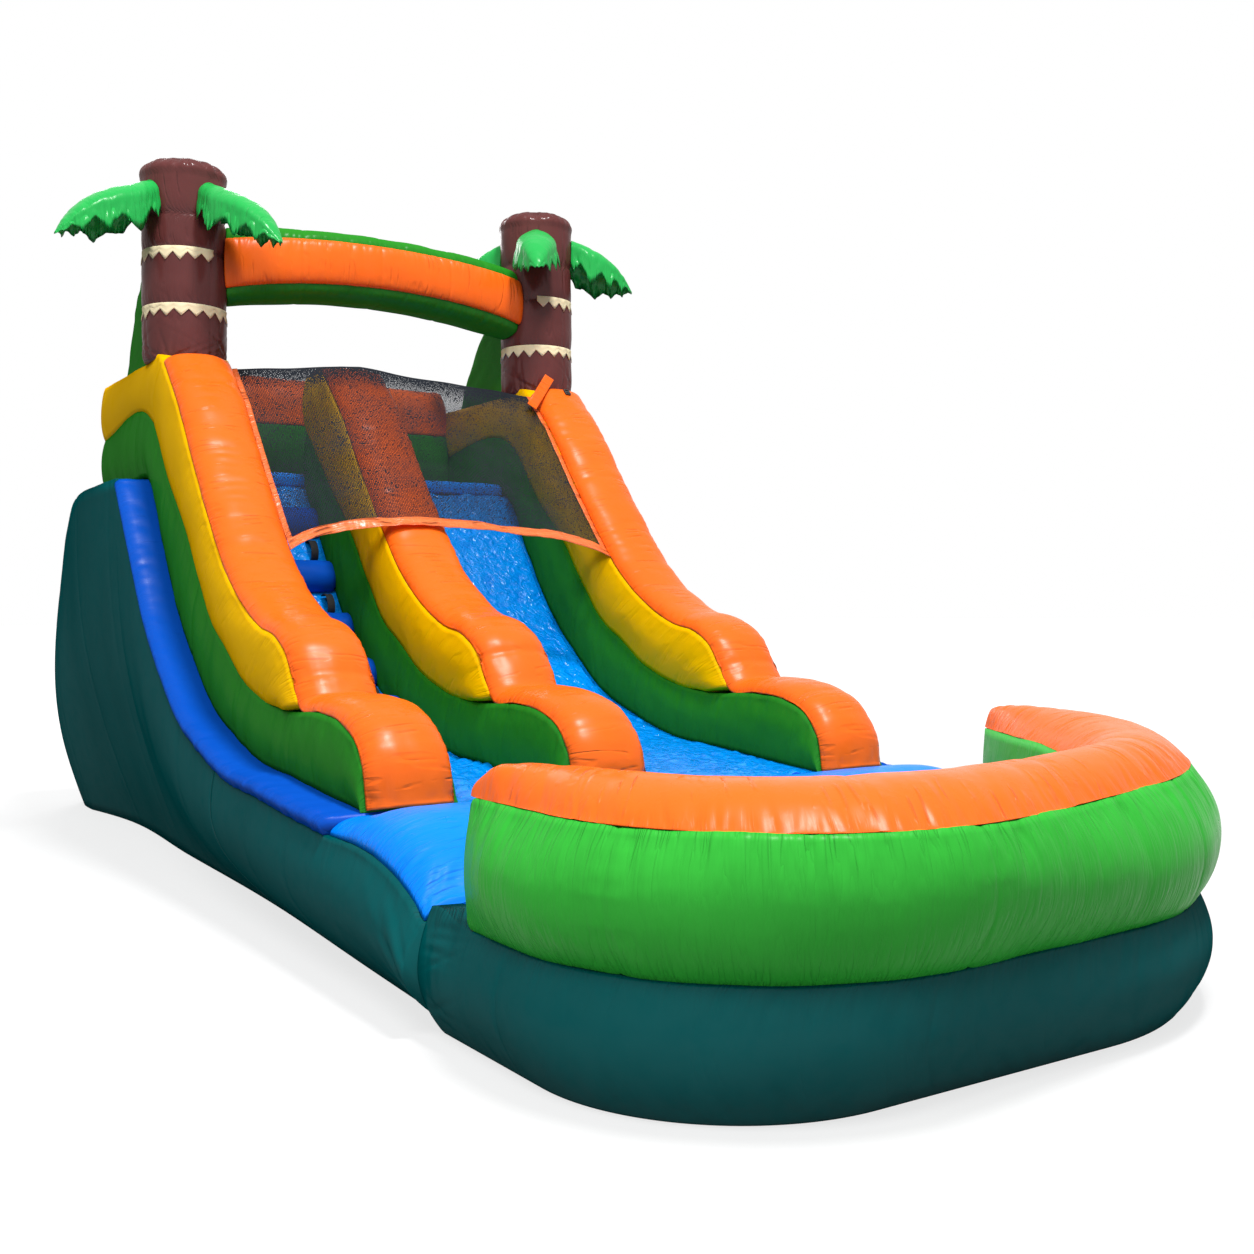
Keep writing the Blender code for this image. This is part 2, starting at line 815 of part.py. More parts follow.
# A frond's section: shares of its half width, of its depth and of its flap's drop.
frond_section_shares = [
    (-1.0, 0.0, -1.0), (-0.9, 0.35, 0.0), (0.0, 0.60, 0.0),
    (0.9, 0.35, 0.0), (1.0, 0.0, -1.0), (0.0, -0.10, 0.0),
]
frond_half_width = 0.15
frond_depth = 0.18
frond_flap = 0.11
frond_notch_share = 0.55
frond_drop = 0.24
frond_root_depth_share = 0.85
frond_length = 0.70
# Each frond's direction in degrees, and its share of the length.
frond_shares_by_side = {
    "left": ((202, 1.0), (-68, 1.0), (57, 0.857)),
    "right": ((-22, 0.729), (-119, 0.786), (118, 0.857)),
}


def frond(name, centre_x, root_z, angle, length, cutter):
    out = Vector((math.cos(angle), math.sin(angle), 0))
    across = Vector((-out.y, out.x, 0))
    base = Vector((centre_x, 0, root_z))
    rings = []
    for i, (run, rise, wide, deep) in enumerate(frond_shares):
        reach = trunk_radius * frond_root_depth_share + length * run
        middle = base + out * reach + Vector((0, 0, length * rise))
        half = frond_half_width * wide
        depth = frond_depth * deep
        flap = frond_flap * wide * (1.0 if i % 2 else frond_notch_share)
        ring = []
        for side, up, drop in frond_section_shares:
            ring.append(middle + across * (half * side) + Vector((0, 0, depth * up + flap * drop)))
        rings.append(ring)
    item = loft(name, rings, frond_vinyl)
    cut(item, cutter)
    return item


def palm(side, centre_x, top, facing):
    """One palm, with the direction that faces the arch. Returns the trunk's cutter."""
    low = rail_height - overrun
    high = top + overrun
    bare_radius = trunk_radius + clearance
    banded_radius = bare_radius + band_thickness + clearance
    bare = cylinder_cutter("trunk_cutter_" + side, bare_radius, low, high, (centre_x, 0))
    banded = cylinder_cutter("band_cutter_" + side, banded_radius, low, high, (centre_x, 0))
    trunk(side, centre_x, top)
    wing(side, centre_x, banded)
    trunk_band("trunk_band_upper_" + side, centre_x, upper_band_top, (facing, band_angle))
    trunk_band("trunk_band_lower_" + side, centre_x, lower_band_top, None)
    for i, (degrees, share) in enumerate(frond_shares_by_side[side]):
        name = "frond_%s_%d" % (side, i + 1)
        frond(name, centre_x, top - frond_drop, math.radians(degrees), frond_length * share, bare)
    return bare


# Arch

arch_stations = 13
arch_shoulder_share = 0.6
arch_face_inset_share = 0.2


def arch_heights(x):
    """Bottom and top of the arch's face at x."""
    share = 1 - (x / rail_offset) ** 2
    bottom = arch_end_bottom + arch_rise * share
    height = arch_face_height + (arch_middle_height - arch_face_height) * share
    return bottom, bottom + height


def arch_places():
    reach = rail_offset - trunk_radius / 2
    return [-reach + 2 * reach * i / (arch_stations - 1) for i in range(arch_stations)]


def arch_tube(cutters):
    rings = []
    half = arch_half_depth - clearance
    shoulder = half * arch_shoulder_share
    for x in arch_places():
        low, high = arch_heights(x)
        crown = high + arch_lip
        belly = low - arch_belly
        rings.append(
            [
                (x, -half, low), (x, -half, high), (x, -shoulder, crown), (x, shoulder, crown),
                (x, half, high), (x, half, low), (x, shoulder, belly), (x, -shoulder, belly),
            ]
        )
    item = loft("arch_tube", rings, green_vinyl)
    for cutter in cutters:
        cut(item, cutter)
    return item


def arch_face(cutters):
    rings = []
    back = -arch_half_depth
    front = back - arch_face_depth
    for x in arch_places():
        low, high = arch_heights(x)
        inset = (high - low) * arch_face_inset_share
        rings.append([(x, back, low), (x, front, low + inset), (x, front, high - inset), (x, back, high)])
    item = loft("arch_face", rings, orange_vinyl)
    for cutter in cutters:
        cut(item, cutter)
    return item


# Net over both lanes

# Shares of the middle rail's half width, and of the crown's height, that the net lies on.
net_rest_shares = [(-0.60, 0.97), (0.0, 1.08), (0.60, 0.97)]


def cap_lift(x):
    """Height of the net over the rails' seam line: up on the middle rail's crown, tied at the sides."""
    half = rail_width / 2
    rest = [(middle_rail_x + half * across, crown_height * up) for across, up in net_rest_shares]
    return height_at([(-lane_edge, -net_lift), *rest, (lane_edge, -net_lift)], x)


def seam_at(run):
    """Point and normal on the rails' seam line, run metres down from its top."""
    left = run
    for (y0, z0), (y1, z1) in zip(seam_line, seam_line[1:]):
        length = math.dist((y0, z0), (y1, z1))
        if left <= length:
            share = left / length
            along = Vector((y1 - y0, z1 - z0)).normalized()
            return (y0 + (y1 - y0) * share, z0 + (z1 - z0) * share), Vector((along.y, -along.x))
        left -= length
    return seam_line[-1], Vector((-1, 0))


slope_normal = Vector((seam_line[4][1] - seam_line[0][1], seam_line[0][0] - seam_line[4][0])).normalized()


def net_point(x, run):
    """A point on the net, run metres down from its top."""
    flared = run * (1 + net_flare_share * abs(x / lane_edge) ** net_flare_power)
    (y, z), _ = seam_at(net_top_run + flared)
    lift = cap_lift(x) + net_lift
    return (x, y + slope_normal.x * lift, z + slope_normal.y * lift)


def cell_lines(start, end, count):
    """Edges of strands and gaps in turn, beginning and ending with a strand."""
    pitch = (end - start - strand_width) / count
    lines = []
    for i in range(count + 1):
        lines += [start + pitch * i, start + pitch * i + strand_width]
    return lines


def sheet(name, columns, rows, kept, finish):
    """A thin sheet on the net's surface, with only the cells that kept() says."""
    bm = bmesh.new()
    grid = [[bm.verts.new(net_point(x, run)) for x in columns] for run in rows]
    for j in range(len(rows) - 1):
        for i in range(len(columns) - 1):
            if kept(i, j):
                bm.faces.new((grid[j][i], grid[j + 1][i], grid[j + 1][i + 1], grid[j][i + 1]))
    loose = [vert for vert in bm.verts if not vert.link_faces]
    bmesh.ops.delete(bm, geom=loose, context="VERTS")
    raised = bmesh.ops.extrude_face_region(bm, geom=bm.faces[:], use_keep_orig=True)
    verts = [item for item in raised["geom"] if isinstance(item, bmesh.types.BMVert)]
    push = Vector((0, slope_normal.x, slope_normal.y)) * net_thickness
    bmesh.ops.translate(bm, verts=verts, vec=push)
    bmesh.ops.recalc_face_normals(bm, faces=bm.faces)
    mesh = bpy.data.meshes.new(name)
    bm.to_mesh(mesh)
    bm.free()
    return link(name, mesh, finish)


hem_edge = lane_edge - clearance
hem_inner = hem_edge - side_hem


def net_panel():
    half = hem_inner - clearance
    columns = cell_lines(-half, half, net_columns)
    rows = cell_lines(0.0, net_length - clearance, net_rows)
    return sheet("net_panel", columns, rows, lambda i, j: not (i % 2 and j % 2), black_mesh)


def net_hem():
    half = hem_inner - clearance
    across = cell_lines(-half, half, net_columns)
    down = cell_lines(0.0, net_length - clearance, net_rows)
    columns = [-hem_edge, -hem_inner, *across[1:-1], hem_inner, hem_edge]
    rows = [*down[:-1], net_length, net_length + bottom_hem]
    last_column = len(columns) - 2
    last_row = len(rows) - 2
    return sheet("net_hem", columns, rows, lambda i, j: i in (0, last_column) or j == last_row, orange_vinyl)


# Climbing lane


def point_on(line, distance):
    """The (y, z) point that far along a line of (y, z) points from its start."""
    for a, b in zip(line, line[1:]):
        length = math.dist(a, b)
        if distance <= length:
            share = distance / length
            return (a[0] + (b[0] - a[0]) * share, a[1] + (b[1] - a[1]) * share)
        distance -= length
    return line[-1]


def hump(start, end, height, count):
    """Points of a half ellipse of that height that stands on the chord from start to end."""
    along = Vector((end[0] - start[0], end[1] - start[1])) / 2
    normal = Vector((along.y, -along.x)).normalized()
    middle = Vector(start) + along
    points = []
    for i in range(count + 1):
        angle = math.pi * i / count
        points.append(tuple(middle - along * math.cos(angle) + normal * height * math.sin(angle)))
    return points


def climbing_lane():
    low_x = -lane_edge + clearance
    high_x = middle_rail_x - rail_width / 2 - clearance
    bed = [(y, z + clearance) for y, z in bed_line]
    for i in range(step_count):
        middle = step_start + step_pitch * i
        start = point_on(bed, middle - step_length / 2)
        end = point_on(bed, middle + step_length / 2)
        points = hump(start, end, step_height, round_steps)
        name = "climbing_step_%d" % (i + 1)
        outline_solid(name, points, (low_x + high_x) / 2, high_x - low_x, blue_vinyl)
    handle_x = high_x - handle_inset
    for i in range(handle_count):
        middle = step_start + step_pitch * (i + 0.5)
        start = point_on(bed, middle - handle_length / 2)
        end = point_on(bed, middle + handle_length / 2)
        outer = hump(start, end, handle_height, round_steps)
        reach = Vector(end) - Vector(start)
        inset = reach.normalized() * webbing
        inner_start = tuple(Vector(start) + inset)
        inner_end = tuple(Vector(end) - inset)
        inner = hump(inner_start, inner_end, handle_height - webbing, round_steps)
        name = "climbing_handle_%d" % (i + 1)
        outline_solid(name, [*outer, *reversed(inner)], handle_x, handle_width, black_webbing)


# Back of the tower: blower sleeve and deflation zip


def turned_sleeve():
    mesh = bpy.data.meshes.new("blower_sleeve")
    inner = sleeve_radius - sleeve_wall
    profile = [
        (sleeve_radius, sleeve_length), (sleeve_radius, 0), (inner, 0), (inner, sleeve_length),
    ]
    mesh.from_pydata([(r, 0, z) for r, z in profile], [(0, 1), (1, 2), (2, 3), (3, 0)], [])
    item = link("blower_sleeve", mesh, teal_vinyl, smooth=False)
    item.location = (sleeve_x, tower_back_y + clearance, sleeve_z)
    item.rotation_euler.x = -math.pi / 2
    screw = item.modifiers.new("turn", "SCREW")
    screw.steps = sleeve_steps
    screw.render_steps = sleeve_steps
    screw.use_merge_vertices = True
    screw.merge_threshold = weld_distance
    return item


def ribbon(path, thickness):
    """Outline of a strip of that thickness along a path of (y, z) points."""
    left = []
    right = []
    for i, point in enumerate(path):
        along = along_line(path, i)
        side = Vector((along.y, -along.x)) * (thickness / 2)
        left.append(tuple(Vector(point) + side))
        right.append(tuple(Vector(point) - side))
    return [*left, *reversed(right)]


def deflation_zip():
    wall_y = tower_back_y + clearance
    half = zip_width / 2
    flat = wall_y + zip_thickness
    ridge = flat + zip_thickness
    tape = [
        (wall_y, zip_z - half), (flat, zip_z - half), (flat, zip_z - zip_chain),
        (ridge, zip_z - zip_chain), (ridge, zip_z + zip_chain), (flat, zip_z + zip_chain),
        (flat, zip_z + half), (wall_y, zip_z + half),
    ]
    outline_solid("zip_tape", tape, zip_x + zip_length / 2, zip_length, black_webbing)
    foot = flat + clearance
    roof = ridge + slider_clearance
    wide = zip_chain + slider_clearance
    top = flat + slider_depth
    body = [
        (foot, zip_z - slider_half_height), (top, zip_z - slider_half_height),
        (top, zip_z + slider_half_height), (foot, zip_z + slider_half_height),
        (foot, zip_z + wide), (roof, zip_z + wide), (roof, zip_z - wide), (foot, zip_z - wide),
    ]
    outline_solid("zip_slider", body, zip_x + slider_length, slider_length, zinc, (flat, zip_z))
    hinge_y = wall_y + flap_thickness / 2
    hinge_z = zip_z + flap_rise
    out_y = wall_y + flap_stand_off
    path = [
        (hinge_y, hinge_z), (out_y, hinge_z - flap_stand_off),
        (out_y, hinge_z - flap_height / 2), (out_y, hinge_z - flap_height),
    ]
    strip = ribbon(path, flap_thickness)
    outline_solid("zip_flap", strip, zip_x + zip_length / 2, flap_length, teal_vinyl, (hinge_y, hinge_z))


# Anchors: a webbing tab with an eye, and the ring that swings in it


def placed(item, origin, across, out):
    """Puts a piece drawn with X across, Y out and Z up on a face at origin."""
    up = across.cross(out)
    place = Matrix((across, out, up)).transposed().to_4x4()
    place.translation = origin
    item.matrix_world = place @ item.matrix_world
    return item


def eye_radius():
    return wire_radius + eye_clearance


def anchor_tab(name, origin, across, out):
    outer = eye_radius() + webbing
    ending = 2 * math.pi + math.acos((webbing - outer) / outer)
    points = [(0, tab_length), (0, 0)]
    for i in range(1, 2 * round_steps + 1):
        angle = math.pi + (ending - math.pi) * i / (2 * round_steps)
        points.append((outer + outer * math.cos(angle), outer * math.sin(angle)))
    points.append((webbing, tab_length))
    item = outline_solid(name, points, 0, tab_width, black_webbing)
    hole = item.data.splines.new("POLY")
    hole.points.add(2 * round_steps - 1)
    for i, point in enumerate(hole.points):
        angle = math.pi * i / round_steps
        point.co = (outer + eye_radius() * math.cos(angle), eye_radius() * math.sin(angle), 0, 1)
    hole.use_cyclic_u = True
    bpy.context.view_layer.update()
    return placed(item, origin, across, out)


def anchor_ring(name, origin, across, out):
    """The ring hangs straight down. Its origin lies on its bar, which the tab's eye holds."""
    half = tab_width / 2 + ring_side_play + wire_radius
    curve = bpy.data.curves.new(name, "CURVE")
    curve.dimensions = "3D"
    curve.bevel_depth = wire_radius
    curve.bevel_resolution = 1
    spline = curve.splines.new("POLY")
    spline.points.add(round_steps)
    for i, point in enumerate(spline.points):
        angle = math.pi * i / round_steps
        point.co = (half * math.cos(angle), 0, -ring_height * math.sin(angle), 1)
    spline.use_cyclic_u = True
    item = link(name, curve, zinc)
    bar = eye_radius() + webbing
    level_out = Vector((0, 0, 1)).cross(across).normalized()
    return placed(item, origin + out * bar, across, level_out)


def side_face(y):
    """Point, direction along and outward normal on the right side, at the side anchor."""
    made = []
    for place in (y - tab_width, y + tab_width):
        top = height_at(bed_line, place) - bed_thickness
        made.append([Vector(point) for point in side_ring(place, top)])
    low, high = 2, 3
    middle = (made[0][low] + made[1][low] + made[0][high] + made[1][high]) / 4
    along = (made[0][high] - made[1][high]).normalized()
    up = ((made[0][high] + made[1][high]) / 2 - (made[0][low] + made[1][low]) / 2).normalized()
    out = up.cross(along).normalized()
    return middle, along, out


def anchors():
    spots = []
    for side, x in (("back_left", -anchor_x), ("back_right", anchor_x)):
        origin = Vector((x, tower_back_y + clearance, anchor_z))
        spots.append((side, origin, Vector((1, 0, 0)), Vector((0, 1, 0))))
    middle, along, out = side_face(side_anchor_y)
    up = along.cross(out)
    origin = middle + out * 2 * clearance - up * tab_length / 2
    spots.append(("front_right", origin, along, out))
    for side, origin, across, away in spots:
        anchor_tab("anchor_tab_" + side, origin, across, away)
        anchor_ring("anchor_ring_" + side, origin, across, away)


# Small ties at the right trunk's foot


# Places along the strap's flat part, from its lower end.
strap_shares = [1.0, 0.66, 0.33, 0.0]


def tie_strap():
    path = []
    lift = crown_at(strap_x + strap_width / 2 - rail_offset) + webbing / 2 + 2 * clearance
    for share in strap_shares:
        (y, z), normal = seam_at(strap_start * share)
        path.append((y + normal.x * lift, z + normal.y * lift))
    y, z = path[-1]
    path += [(y + webbing, z + strap_rise / 2), (y + webbing, z + strap_rise)]
    outline_solid("tie_strap", ribbon(path, webbing), strap_x, strap_width, orange_vinyl)


def strap_buckle():
    half = buckle_length / 2
    side = buckle_width / 2
    bevel = buckle_slot / 2
    outer = [
        (half - bevel, side), (half, side - bevel), (half, bevel - side), (half - bevel, -side),
        (bevel - half, -side), (-half, bevel - side), (-half, side - bevel), (bevel - half, side),
    ]
    item = plan_solid("strap_buckle", outer, 0, buckle_thickness, black_webbing)
    for centre in (-half / 2, half / 2):
        slot = item.data.splines.new("POLY")
        slot.points.add(3)
        reach = side - 2 * bevel
        corners = [(-1, -1), (1, -1), (1, 1), (-1, 1)]
        for point, (u, v) in zip(slot.points, corners):
            point.co = (centre + u * buckle_slot / 2, v * reach, 0, 1)
        slot.use_cyclic_u = True
    bpy.context.view_layer.update()
    (y, z), _ = seam_at(buckle_run)
    ahead, _ = seam_at(buckle_run + buckle_length)
    down = Vector((0, ahead[0] - y, ahead[1] - z)).normalized()
    out = Vector((0, down.z, -down.y))
    lift = crown_at(buckle_x - side - rail_offset) + buckle_thickness / 2 + 2 * clearance
    across = down.cross(out)
    place = Matrix((down, across * -1, out)).transposed().to_4x4()
    place.translation = Vector((buckle_x, y, z)) + out * lift
    item.matrix_world = place
    return item


def build():
    tower_base()
    front_base()
    slide_bed()
    exit_cushion()
    pool_base()
    pool_wall()
    pool_rim()
    pool_floor()
    rails()
    slide_liner()
    platform_deck()
    back_wall()
    back_wall_cap()
    palms = [("left", -rail_offset, trunk_top_left, 0.0), ("right", rail_offset, trunk_top_right, math.pi)]
    cutters = [palm(*values) for values in palms]
    arch_tube(cutters)
    arch_face(cutters)
    net_panel()
    net_hem()
    climbing_lane()
    turned_sleeve()
    deflation_zip()
    anchors()
    tie_strap()
    strap_buckle()


build()
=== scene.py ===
import math
from functools import partial

import bmesh
import bpy
import numpy as np
from mathutils import Matrix, Vector


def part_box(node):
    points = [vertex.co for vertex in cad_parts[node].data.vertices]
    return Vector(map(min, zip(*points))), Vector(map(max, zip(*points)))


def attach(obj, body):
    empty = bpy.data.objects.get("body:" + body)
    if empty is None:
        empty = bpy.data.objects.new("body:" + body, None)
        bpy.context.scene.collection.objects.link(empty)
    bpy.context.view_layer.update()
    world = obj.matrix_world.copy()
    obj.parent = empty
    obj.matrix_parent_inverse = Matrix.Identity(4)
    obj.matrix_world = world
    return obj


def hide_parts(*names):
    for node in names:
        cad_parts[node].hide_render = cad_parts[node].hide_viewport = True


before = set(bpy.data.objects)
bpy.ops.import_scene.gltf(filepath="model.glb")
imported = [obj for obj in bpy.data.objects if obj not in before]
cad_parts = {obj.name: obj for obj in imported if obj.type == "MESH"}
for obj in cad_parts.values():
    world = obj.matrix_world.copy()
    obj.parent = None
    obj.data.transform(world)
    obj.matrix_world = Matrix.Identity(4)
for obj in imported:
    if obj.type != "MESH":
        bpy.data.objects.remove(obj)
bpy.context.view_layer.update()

# The inflatable water slide's looks. Lengths are metres, X runs across the lanes, Y to the back.

bpy.context.scene.view_settings.view_transform = "Standard"

# Places and sizes that many pieces share, read from the frame.
slide = {
    "run": -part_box("slide_bed")[0].y,  # from the trunks' plane to the rails' ends
    "top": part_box("rail_band_left")[1].z,
    "railHalf": (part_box("rail_wall_left")[1].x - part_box("rail_wall_left")[0].x) / 2,
    "bedBack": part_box("platform_deck")[0].y,
    "boxBack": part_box("rail_band_left")[1].y,
    "bandLow": 2.82,  # the yellow band's lower edge at the back
    "deckLow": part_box("platform_deck")[0].z,
    "capStart": -0.285,
    "middleBack": 0.05,
    "clear": 0.0006,  # between skins that are welded together
}
sides = ("left", "middle", "right")
railX = {side: sum(corner.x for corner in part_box("rail_wall_" + side)) / 2 for side in sides}

# Shares of the run towards the front, and of the rails' top upwards.
seamShares = [
    (0.082, 0.985), (0.159, 0.903), (0.257, 0.772), (0.344, 0.662), (0.422, 0.575),
    (0.523, 0.503), (0.601, 0.469), (0.662, 0.456), (0.705, 0.431), (0.734, 0.391),
    (0.766, 0.347), (0.835, 0.346), (0.910, 0.338), (0.960, 0.316), (0.988, 0.281),
    (1.000, 0.222),
]
bandShares = [
    (0.000, 0.881), (0.113, 0.747), (0.202, 0.662), (0.280, 0.566), (0.361, 0.475),
    (0.425, 0.4375), (0.506, 0.3875), (0.610, 0.353), (0.708, 0.341),
]
bedShares = [
    (-0.029, 0.766), (0.069, 0.625), (0.173, 0.484), (0.272, 0.394), (0.379, 0.319),
    (0.454, 0.291), (0.607, 0.250), (0.731, 0.241), (0.838, 0.231), (1.000, 0.219),
]
noseStart = 10  # the point of seamShares where the yellow band ends


def placeLine(shares):
    return [(-slide["run"] * run, slide["top"] * rise) for run, rise in shares]


seamLine = placeLine(seamShares)
bandLine = placeLine(bandShares)
bedLine = placeLine(bedShares)


# Tools for lines and skins

def arcPlaces(points):  # distance of each point along its line
    steps = np.linalg.norm(np.diff(points, axis=0), axis=1)
    return np.concatenate([[0.0], np.cumsum(steps)])


def curveThrough(points, spacing):  # evenly spaced points on a smooth curve through the given ones
    points = np.array(points, float)
    places = arcPlaces(points)
    slopes = np.gradient(points, places, axis=0)
    goals = np.linspace(0.0, places[-1], max(4, int(places[-1] / spacing) + 1))
    k = np.clip(np.searchsorted(places, goals, side="right") - 1, 0, len(points) - 2)
    span = (places[k + 1] - places[k])[:, None]
    t = (goals - places[k])[:, None] / span
    first = (2 * t**3 - 3 * t**2 + 1) * points[k] + (t**3 - 2 * t**2 + t) * span * slopes[k]
    second = (3 * t**2 - 2 * t**3) * points[k + 1] + (t**3 - t**2) * span * slopes[k + 1]
    return first + second


def evenly(points, count):  # the same line in that many even steps
    points = np.array(points, float)
    places = arcPlaces(points)
    goals = np.linspace(0.0, places[-1], count)
    return np.stack([np.interp(goals, places, points[:, i]) for i in range(points.shape[1])], axis=1)


def heightOn(line, y):  # height of a line of (y, z) points at y
    ordered = np.array(sorted(map(tuple, line)))
    return np.interp(y, ordered[:, 0], ordered[:, 1])


def turnedOut(line):  # unit normals of a (y, z) line that runs to the front, pointing up from it
    steps = np.gradient(np.array(line, float), axis=0)
    steps /= np.linalg.norm(steps, axis=1)[:, None]
    return np.stack([steps[:, 1], -steps[:, 0]], axis=1)


def outwards(places, wrap):  # unit normals of a skin given as rows of points
    ring = places[:, :-1] if wrap else places
    down = np.gradient(ring, axis=0)
    if wrap:
        around = np.roll(ring, -1, axis=1) - np.roll(ring, 1, axis=1)
    else:
        around = np.gradient(ring, axis=1)
    normals = np.cross(down, around)
    normals /= np.maximum(np.linalg.norm(normals, axis=2), 1e-9)[..., None]
    if wrap:
        away = ring - ring.mean(axis=1, keepdims=True)
        if (normals * away).sum() < 0:
            normals = -normals
        normals = np.concatenate([normals, normals[:, :1]], axis=1)
    elif normals[..., 2].sum() < 0:
        normals = -normals
    return normals


def pushed(places, amount, wrap=True):  # moves each point along the skin's normal
    if wrap:
        amount = np.concatenate([amount[:, :-1], amount[:, :1]], axis=1)
    return places + outwards(places, wrap) * amount[..., None]


def runsOf(places):  # metres down the rows and metres across them, for every point
    steps = np.linalg.norm(np.diff(places, axis=0), axis=2).mean(axis=1)
    down = np.concatenate([[0.0], np.cumsum(steps)])
    across = np.linalg.norm(np.diff(places, axis=1), axis=2)
    across = np.concatenate([np.zeros((len(places), 1)), np.cumsum(across, axis=1)], axis=1)
    return np.repeat(down[:, None], places.shape[1], axis=1), across


def puckers(run, gap, pitch, depth, reach, seed, slant=0.25):  # short creases square to a seam
    dice = np.random.default_rng(seed)
    low, high = run.min(), run.max()
    gap = np.maximum(gap, 0)
    total = np.zeros_like(gap)
    place = low
    while place < high:
        place += pitch * dice.uniform(0.45, 1.6)
        width = pitch * dice.uniform(0.2, 0.4)
        far = reach * dice.uniform(0.35, 1.4)
        size = depth * dice.uniform(0.35, 1.15)
        lean = dice.uniform(-slant, slant)
        off = np.abs(run - place - lean * gap) / width
        total -= size * np.exp(-(off**2)) * np.exp(-((gap / far) ** 1.4))
    return total * (1 - 0.85 * np.exp(-gap / 0.018))  # the two skins stay together at the stitches


def seamPull(gap, depth, width):  # the valley that a row of stitches pulls
    return -depth * np.exp(-np.abs(gap) / width)


def creases(run, gap, sets, seed, slant=0.25, step=1):  # several sets of puckers, as (pitch, depth, reach)
    return sum(puckers(run, gap, *sizes, seed + step * i, slant) for i, sizes in enumerate(sets))


def ripple(run, across, pitch, seed, waves=8):  # soft uneven waves, about 1 high
    dice = np.random.default_rng(seed)
    total = np.zeros_like(run)
    for _ in range(waves):
        angle = dice.uniform(0, 2 * math.pi)
        turn = 2 * math.pi / (pitch * dice.uniform(0.6, 1.7))
        along = run * math.cos(angle) + across * math.sin(angle)
        total += np.sin(turn * along + dice.uniform(0, 2 * math.pi))
    return total / math.sqrt(waves)


def panelSeams(run, across, places, depth, seed, pitch=0.05, reach=0.05, width=0.012):
    # Seams across a skin, each with its row of puckers.
    total = np.zeros_like(run)
    for i, place in enumerate(places):
        gap = np.abs(run - place)
        total += seamPull(gap, depth, width)
        total += puckers(across, gap, pitch, depth * 0.6, reach, seed + i)
    return total


def layOut(x, y, z):  # rows of points from coordinates that spread over each other
    return np.stack(np.broadcast_arrays(x, y, z), axis=-1)


def shared(down, shares):  # places at shares of a skin's length
    return down[-1, 0] * np.array(shares)


def roundEnds(places, first, last, share=0.3):  # draws in the rows near an end, over that many metres
    down, _ = runsOf(places)
    total = down[-1, 0]
    middle = places.mean(axis=1, keepdims=True)
    factor = np.ones(len(places))
    for radius, distance in ((first, down[:, 0]), (last, total - down[:, 0])):
        if radius:
            near = np.clip(1 - distance / radius, 0, 1)
            factor *= 1 - share * (1 - np.sqrt(1 - near**2))
    return middle + (places - middle) * factor[:, None, None]


# Tools for objects and meshes

def linked(name, data):
    item = bpy.data.objects.new(name, data)
    bpy.context.scene.collection.objects.link(item)
    return item


def meshOf(bm, name, smooth=True):
    mesh = bpy.data.meshes.new(name)
    bm.to_mesh(mesh)
    bm.free()
    if smooth:
        mesh.shade_smooth()
    return mesh


def finished(name, mesh, finish, nodes=(), body="slide"):
    item = linked(name, mesh)
    mesh.materials.append(finish)
    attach(item, body)
    if nodes:
        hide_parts(*nodes)
    return item


def thicken(item, thickness, offset=0):
    solid = item.modifiers.new("thickness", "SOLIDIFY")
    solid.thickness = thickness
    solid.offset = offset


def soften(item, width, segments=2):
    edges = item.modifiers.new("edges", "BEVEL")
    edges.width = width
    edges.segments = segments
    edges.limit_method = "ANGLE"


def standing(axes, origin):  # the matrix that turns X, Y and Z to three axes and moves to the origin
    stand = Matrix(axes).transposed().to_4x4()
    stand.translation = origin
    return stand


def skin(
    name, places, gap, finish, nodes=(), slotName=None, body="slide", wrap=True, closed=True, turned=False,
):
    # One skin from rows of points. gap is each point's distance from the nearest seam, and
    # turned is for rows that lie side by side up a seam instead of along it.
    rows, columns = places.shape[:2]
    down, across = runsOf(places)
    if turned:
        down, across = across, down
    bm = bmesh.new()
    uvLayer = bm.loops.layers.uv.new("skin")
    gapLayer = bm.verts.layers.float.new("seamGap")
    bmesh.ops.create_grid(bm, x_segments=columns - 1, y_segments=rows - 1, size=1)
    bm.verts.ensure_lookup_table()
    bm.verts.index_update()
    flat = places.reshape(-1, 3)
    gaps = gap.reshape(-1)
    spots = np.stack([down, across], axis=2).reshape(-1, 2)
    for i, vert in enumerate(bm.verts):
        vert.co = flat[i]
        vert[gapLayer] = gaps[i]
    for face in bm.faces:
        for loop in face.loops:
            loop[uvLayer].uv = spots[loop.vert.index]
    if wrap:
        bmesh.ops.remove_doubles(bm, verts=bm.verts[:], dist=0.0002)
    if closed:
        bmesh.ops.holes_fill(bm, edges=[edge for edge in bm.edges if edge.is_boundary], sides=0)
    bmesh.ops.recalc_face_normals(bm, faces=bm.faces[:])
    return finished(name, meshOf(bm, name), finish, nodes, body)


# Materials

def feed(tree, socket, value):  # links another socket, or sets a plain value
    if isinstance(value, bpy.types.NodeSocket):
        tree.links.new(value, socket)
    else:
        socket.default_value = value


def addNode(tree, kind, inputs=(), **settings):
    node = tree.nodes.new("ShaderNode" + kind)
    for key, value in settings.items():
        setattr(node, key, value)
    for key, value in dict(inputs).items():
        feed(tree, node.inputs[key], value)
    return node


def mathNode(tree, operation, *values):
    return addNode(tree, "Math", enumerate(values), operation=operation).outputs[0]


def withinOne(tree, value):  # clamped from 0 to 1
    return mathNode(tree, "MINIMUM", mathNode(tree, "MAXIMUM", value, 0.0), 1.0)


